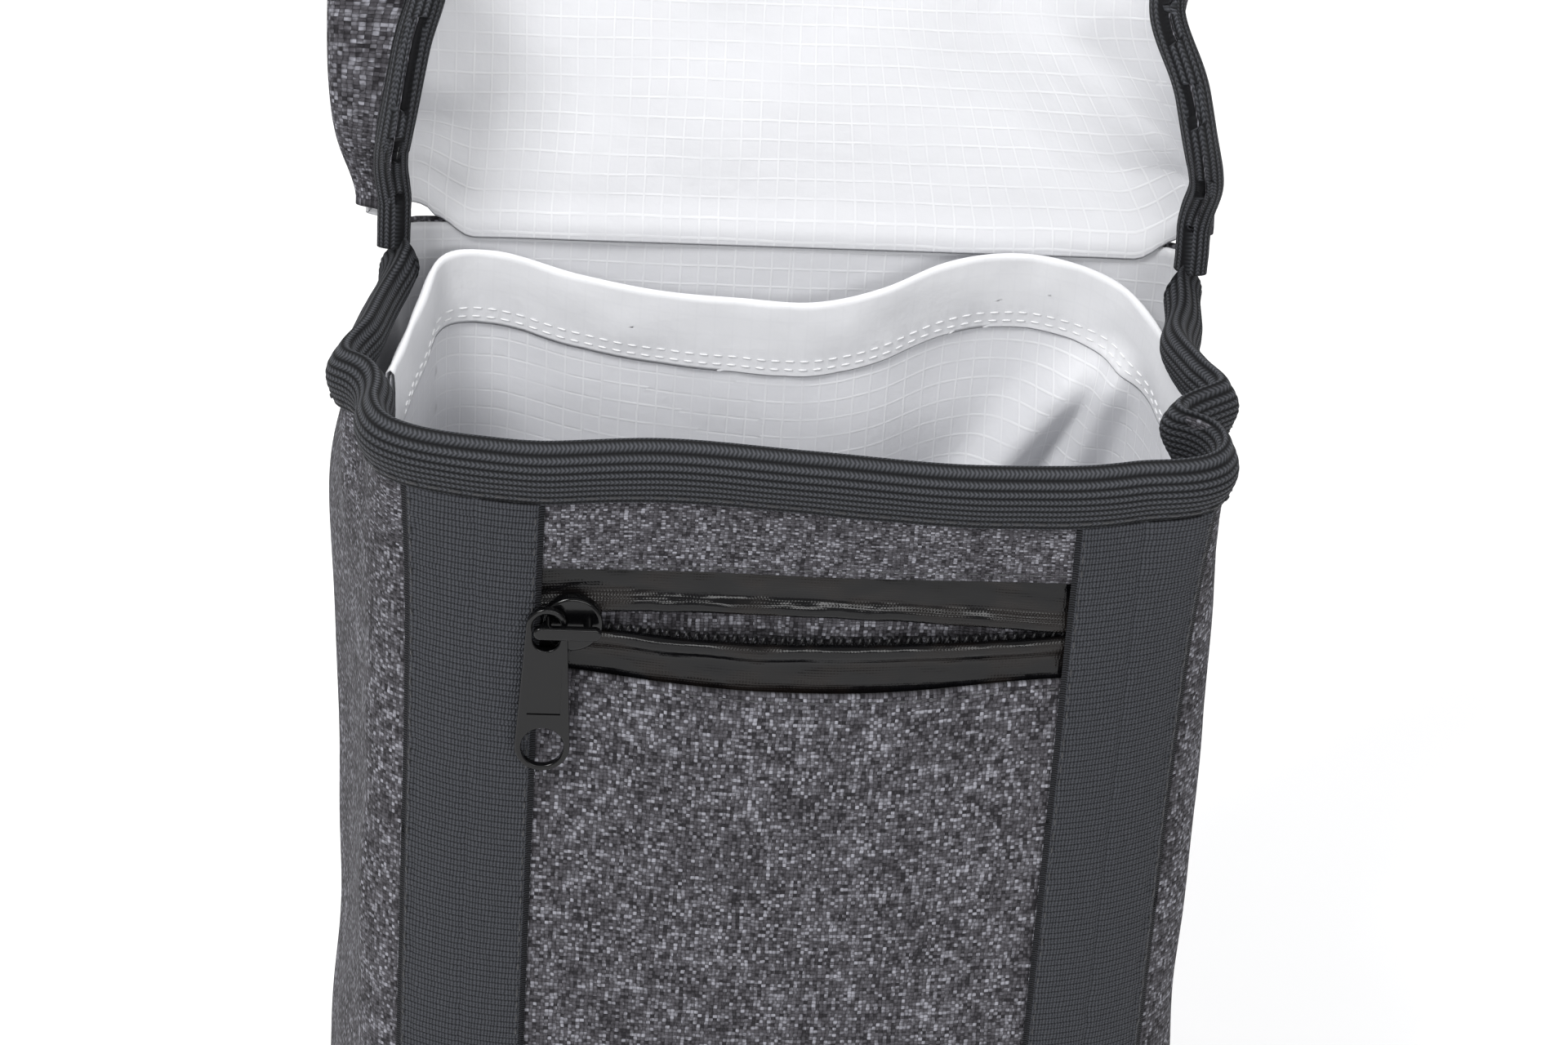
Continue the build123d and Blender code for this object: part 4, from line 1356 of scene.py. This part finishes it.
class BAG_OT_stage(bpy.types.Operator):
    """Pale floor, soft lights and the camera"""

    bl_idname = "bag.stage"
    bl_label = "Stage"

    def execute(self, context):
        """Set the stage."""
        scene = context.scene
        mesh = bmesh.new()
        bmesh.ops.create_circle(mesh, cap_ends=True, segments=96, radius=6.0)
        for vert in mesh.verts:
            vert.co.z = -0.0006
        floor = bpy.data.objects.new("floor", finish_mesh(mesh, "floor"))
        scene.collection.objects.link(floor)
        b = Bench("pale floor", Roughness=0.9, Specular_IOR_Level=0.1)
        place = b.solid_place()
        pale = b.blend(b.noise(place, 0.01), (0.93, 0.93, 0.935), (0.95, 0.95, 0.955))
        floor.data.materials.append(b.feed(Base_Color=pale))
        world = bpy.data.worlds.new("soft studio")
        world.use_nodes = True
        world.node_tree.nodes["Background"].inputs[0].default_value = (1, 1, 1, 1)
        world.node_tree.nodes["Background"].inputs[1].default_value = 0.42
        scene.world = world
        for name, place, aim, size, power in (
            ("key", (-0.9, -0.9, 1.7), (0, 0, 0.2), (0.7, 0.7), 26),
            ("fill", (0.45, -1.6, 0.85), (0, 0, 0.2), (1.3, 0.25), 9),
            ("top", (0.1, 0.5, 1.9), (0, 0.05, 0.2), (0.8, 0.8), 23),
        ):
            data = bpy.data.lights.new(name, "AREA")
            data.shape, data.size, data.size_y, data.energy = "RECTANGLE", size[0], size[1], power
            lamp = bpy.data.objects.new(name, data)
            scene.collection.objects.link(lamp)
            way = Vector(aim) - Vector(place)
            turned = way.to_track_quat("-Z", "Y").to_matrix().to_4x4()
            lamp.matrix_world = Matrix.Translation(Vector(place)) @ turned
        self.camera(scene)
        scene.view_settings.view_transform = "Standard"
        return {"FINISHED"}

    def camera(self, scene):
        """Place the camera in front and above, a little to the bag's left."""
        view = settings("bag_camera")
        target = Vector((0, FRONT_Y - 1.2, LOOP_HIGH[2])) * MM
        level = math.cos(view.rise)
        way = Vector((math.sin(view.swing) * level, math.cos(view.swing) * level, -math.sin(view.rise)))
        right = Vector((math.cos(view.swing), -math.sin(view.swing), 0))
        over = right.cross(way)
        right, over = (
            right * math.cos(view.roll) + over * math.sin(view.roll),
            over * math.cos(view.roll) - right * math.sin(view.roll),
        )
        if right.z < 0:
            right, over = -right, -over
        place = target - way * view.distance - right * 0.0055 - over * 0.0029
        data = bpy.data.cameras.new("camera")
        data.lens = view.lens
        data.clip_start, data.clip_end = 0.05, 50
        camera = bpy.data.objects.new("camera", data)
        scene.collection.objects.link(camera)
        camera.matrix_world = Matrix.Translation(place) @ Matrix((right, over, -way)).transposed().to_4x4()
        scene.camera = camera


OPERATORS = (
    BAG_OT_stage,
    BAG_OT_metal,
    BAG_OT_shell,
    BAG_OT_lining,
    BAG_OT_binding,
    BAG_OT_loops,
    BAG_OT_zip,
    BAG_OT_flap,
)


class BAG_PT_panel(bpy.types.Panel):
    """The bag's pieces and settings"""

    bl_label = "Courier bag"
    bl_idname = "BAG_PT_panel"
    bl_space_type = "VIEW_3D"
    bl_region_type = "UI"
    bl_category = "Courier bag"

    def draw(self, context):
        """List the settings and the operators."""
        for group, kind in GROUPS.items():
            box = self.layout.box()
            box.label(text=kind.__doc__)
            for name in kind.__annotations__:
                box.prop(getattr(context.scene, group), name)
        for operator in OPERATORS:
            self.layout.operator(operator.bl_idname)


def register():
    """Register the settings, operators and panel."""
    for kind in (*GROUPS.values(), *OPERATORS, BAG_PT_panel):
        bpy.utils.register_class(kind)
    for group, kind in GROUPS.items():
        setattr(bpy.types.Scene, group, bpy.props.PointerProperty(type=kind))


def unregister():
    """Remove what register added."""
    for group in GROUPS:
        delattr(bpy.types.Scene, group)
    for kind in reversed((*GROUPS.values(), *OPERATORS, BAG_PT_panel)):
        bpy.utils.unregister_class(kind)


def main():
    """Build the bag and its stage."""
    register()
    bpy.ops.bag.stage()
    bpy.ops.bag.metal()
    bpy.ops.bag.shell()
    bpy.ops.bag.lining()
    bpy.ops.bag.binding()
    bpy.ops.bag.loop_tapes()
    bpy.ops.bag.zip()
    bpy.ops.bag.flap()


if __name__ == "__main__":
    main()
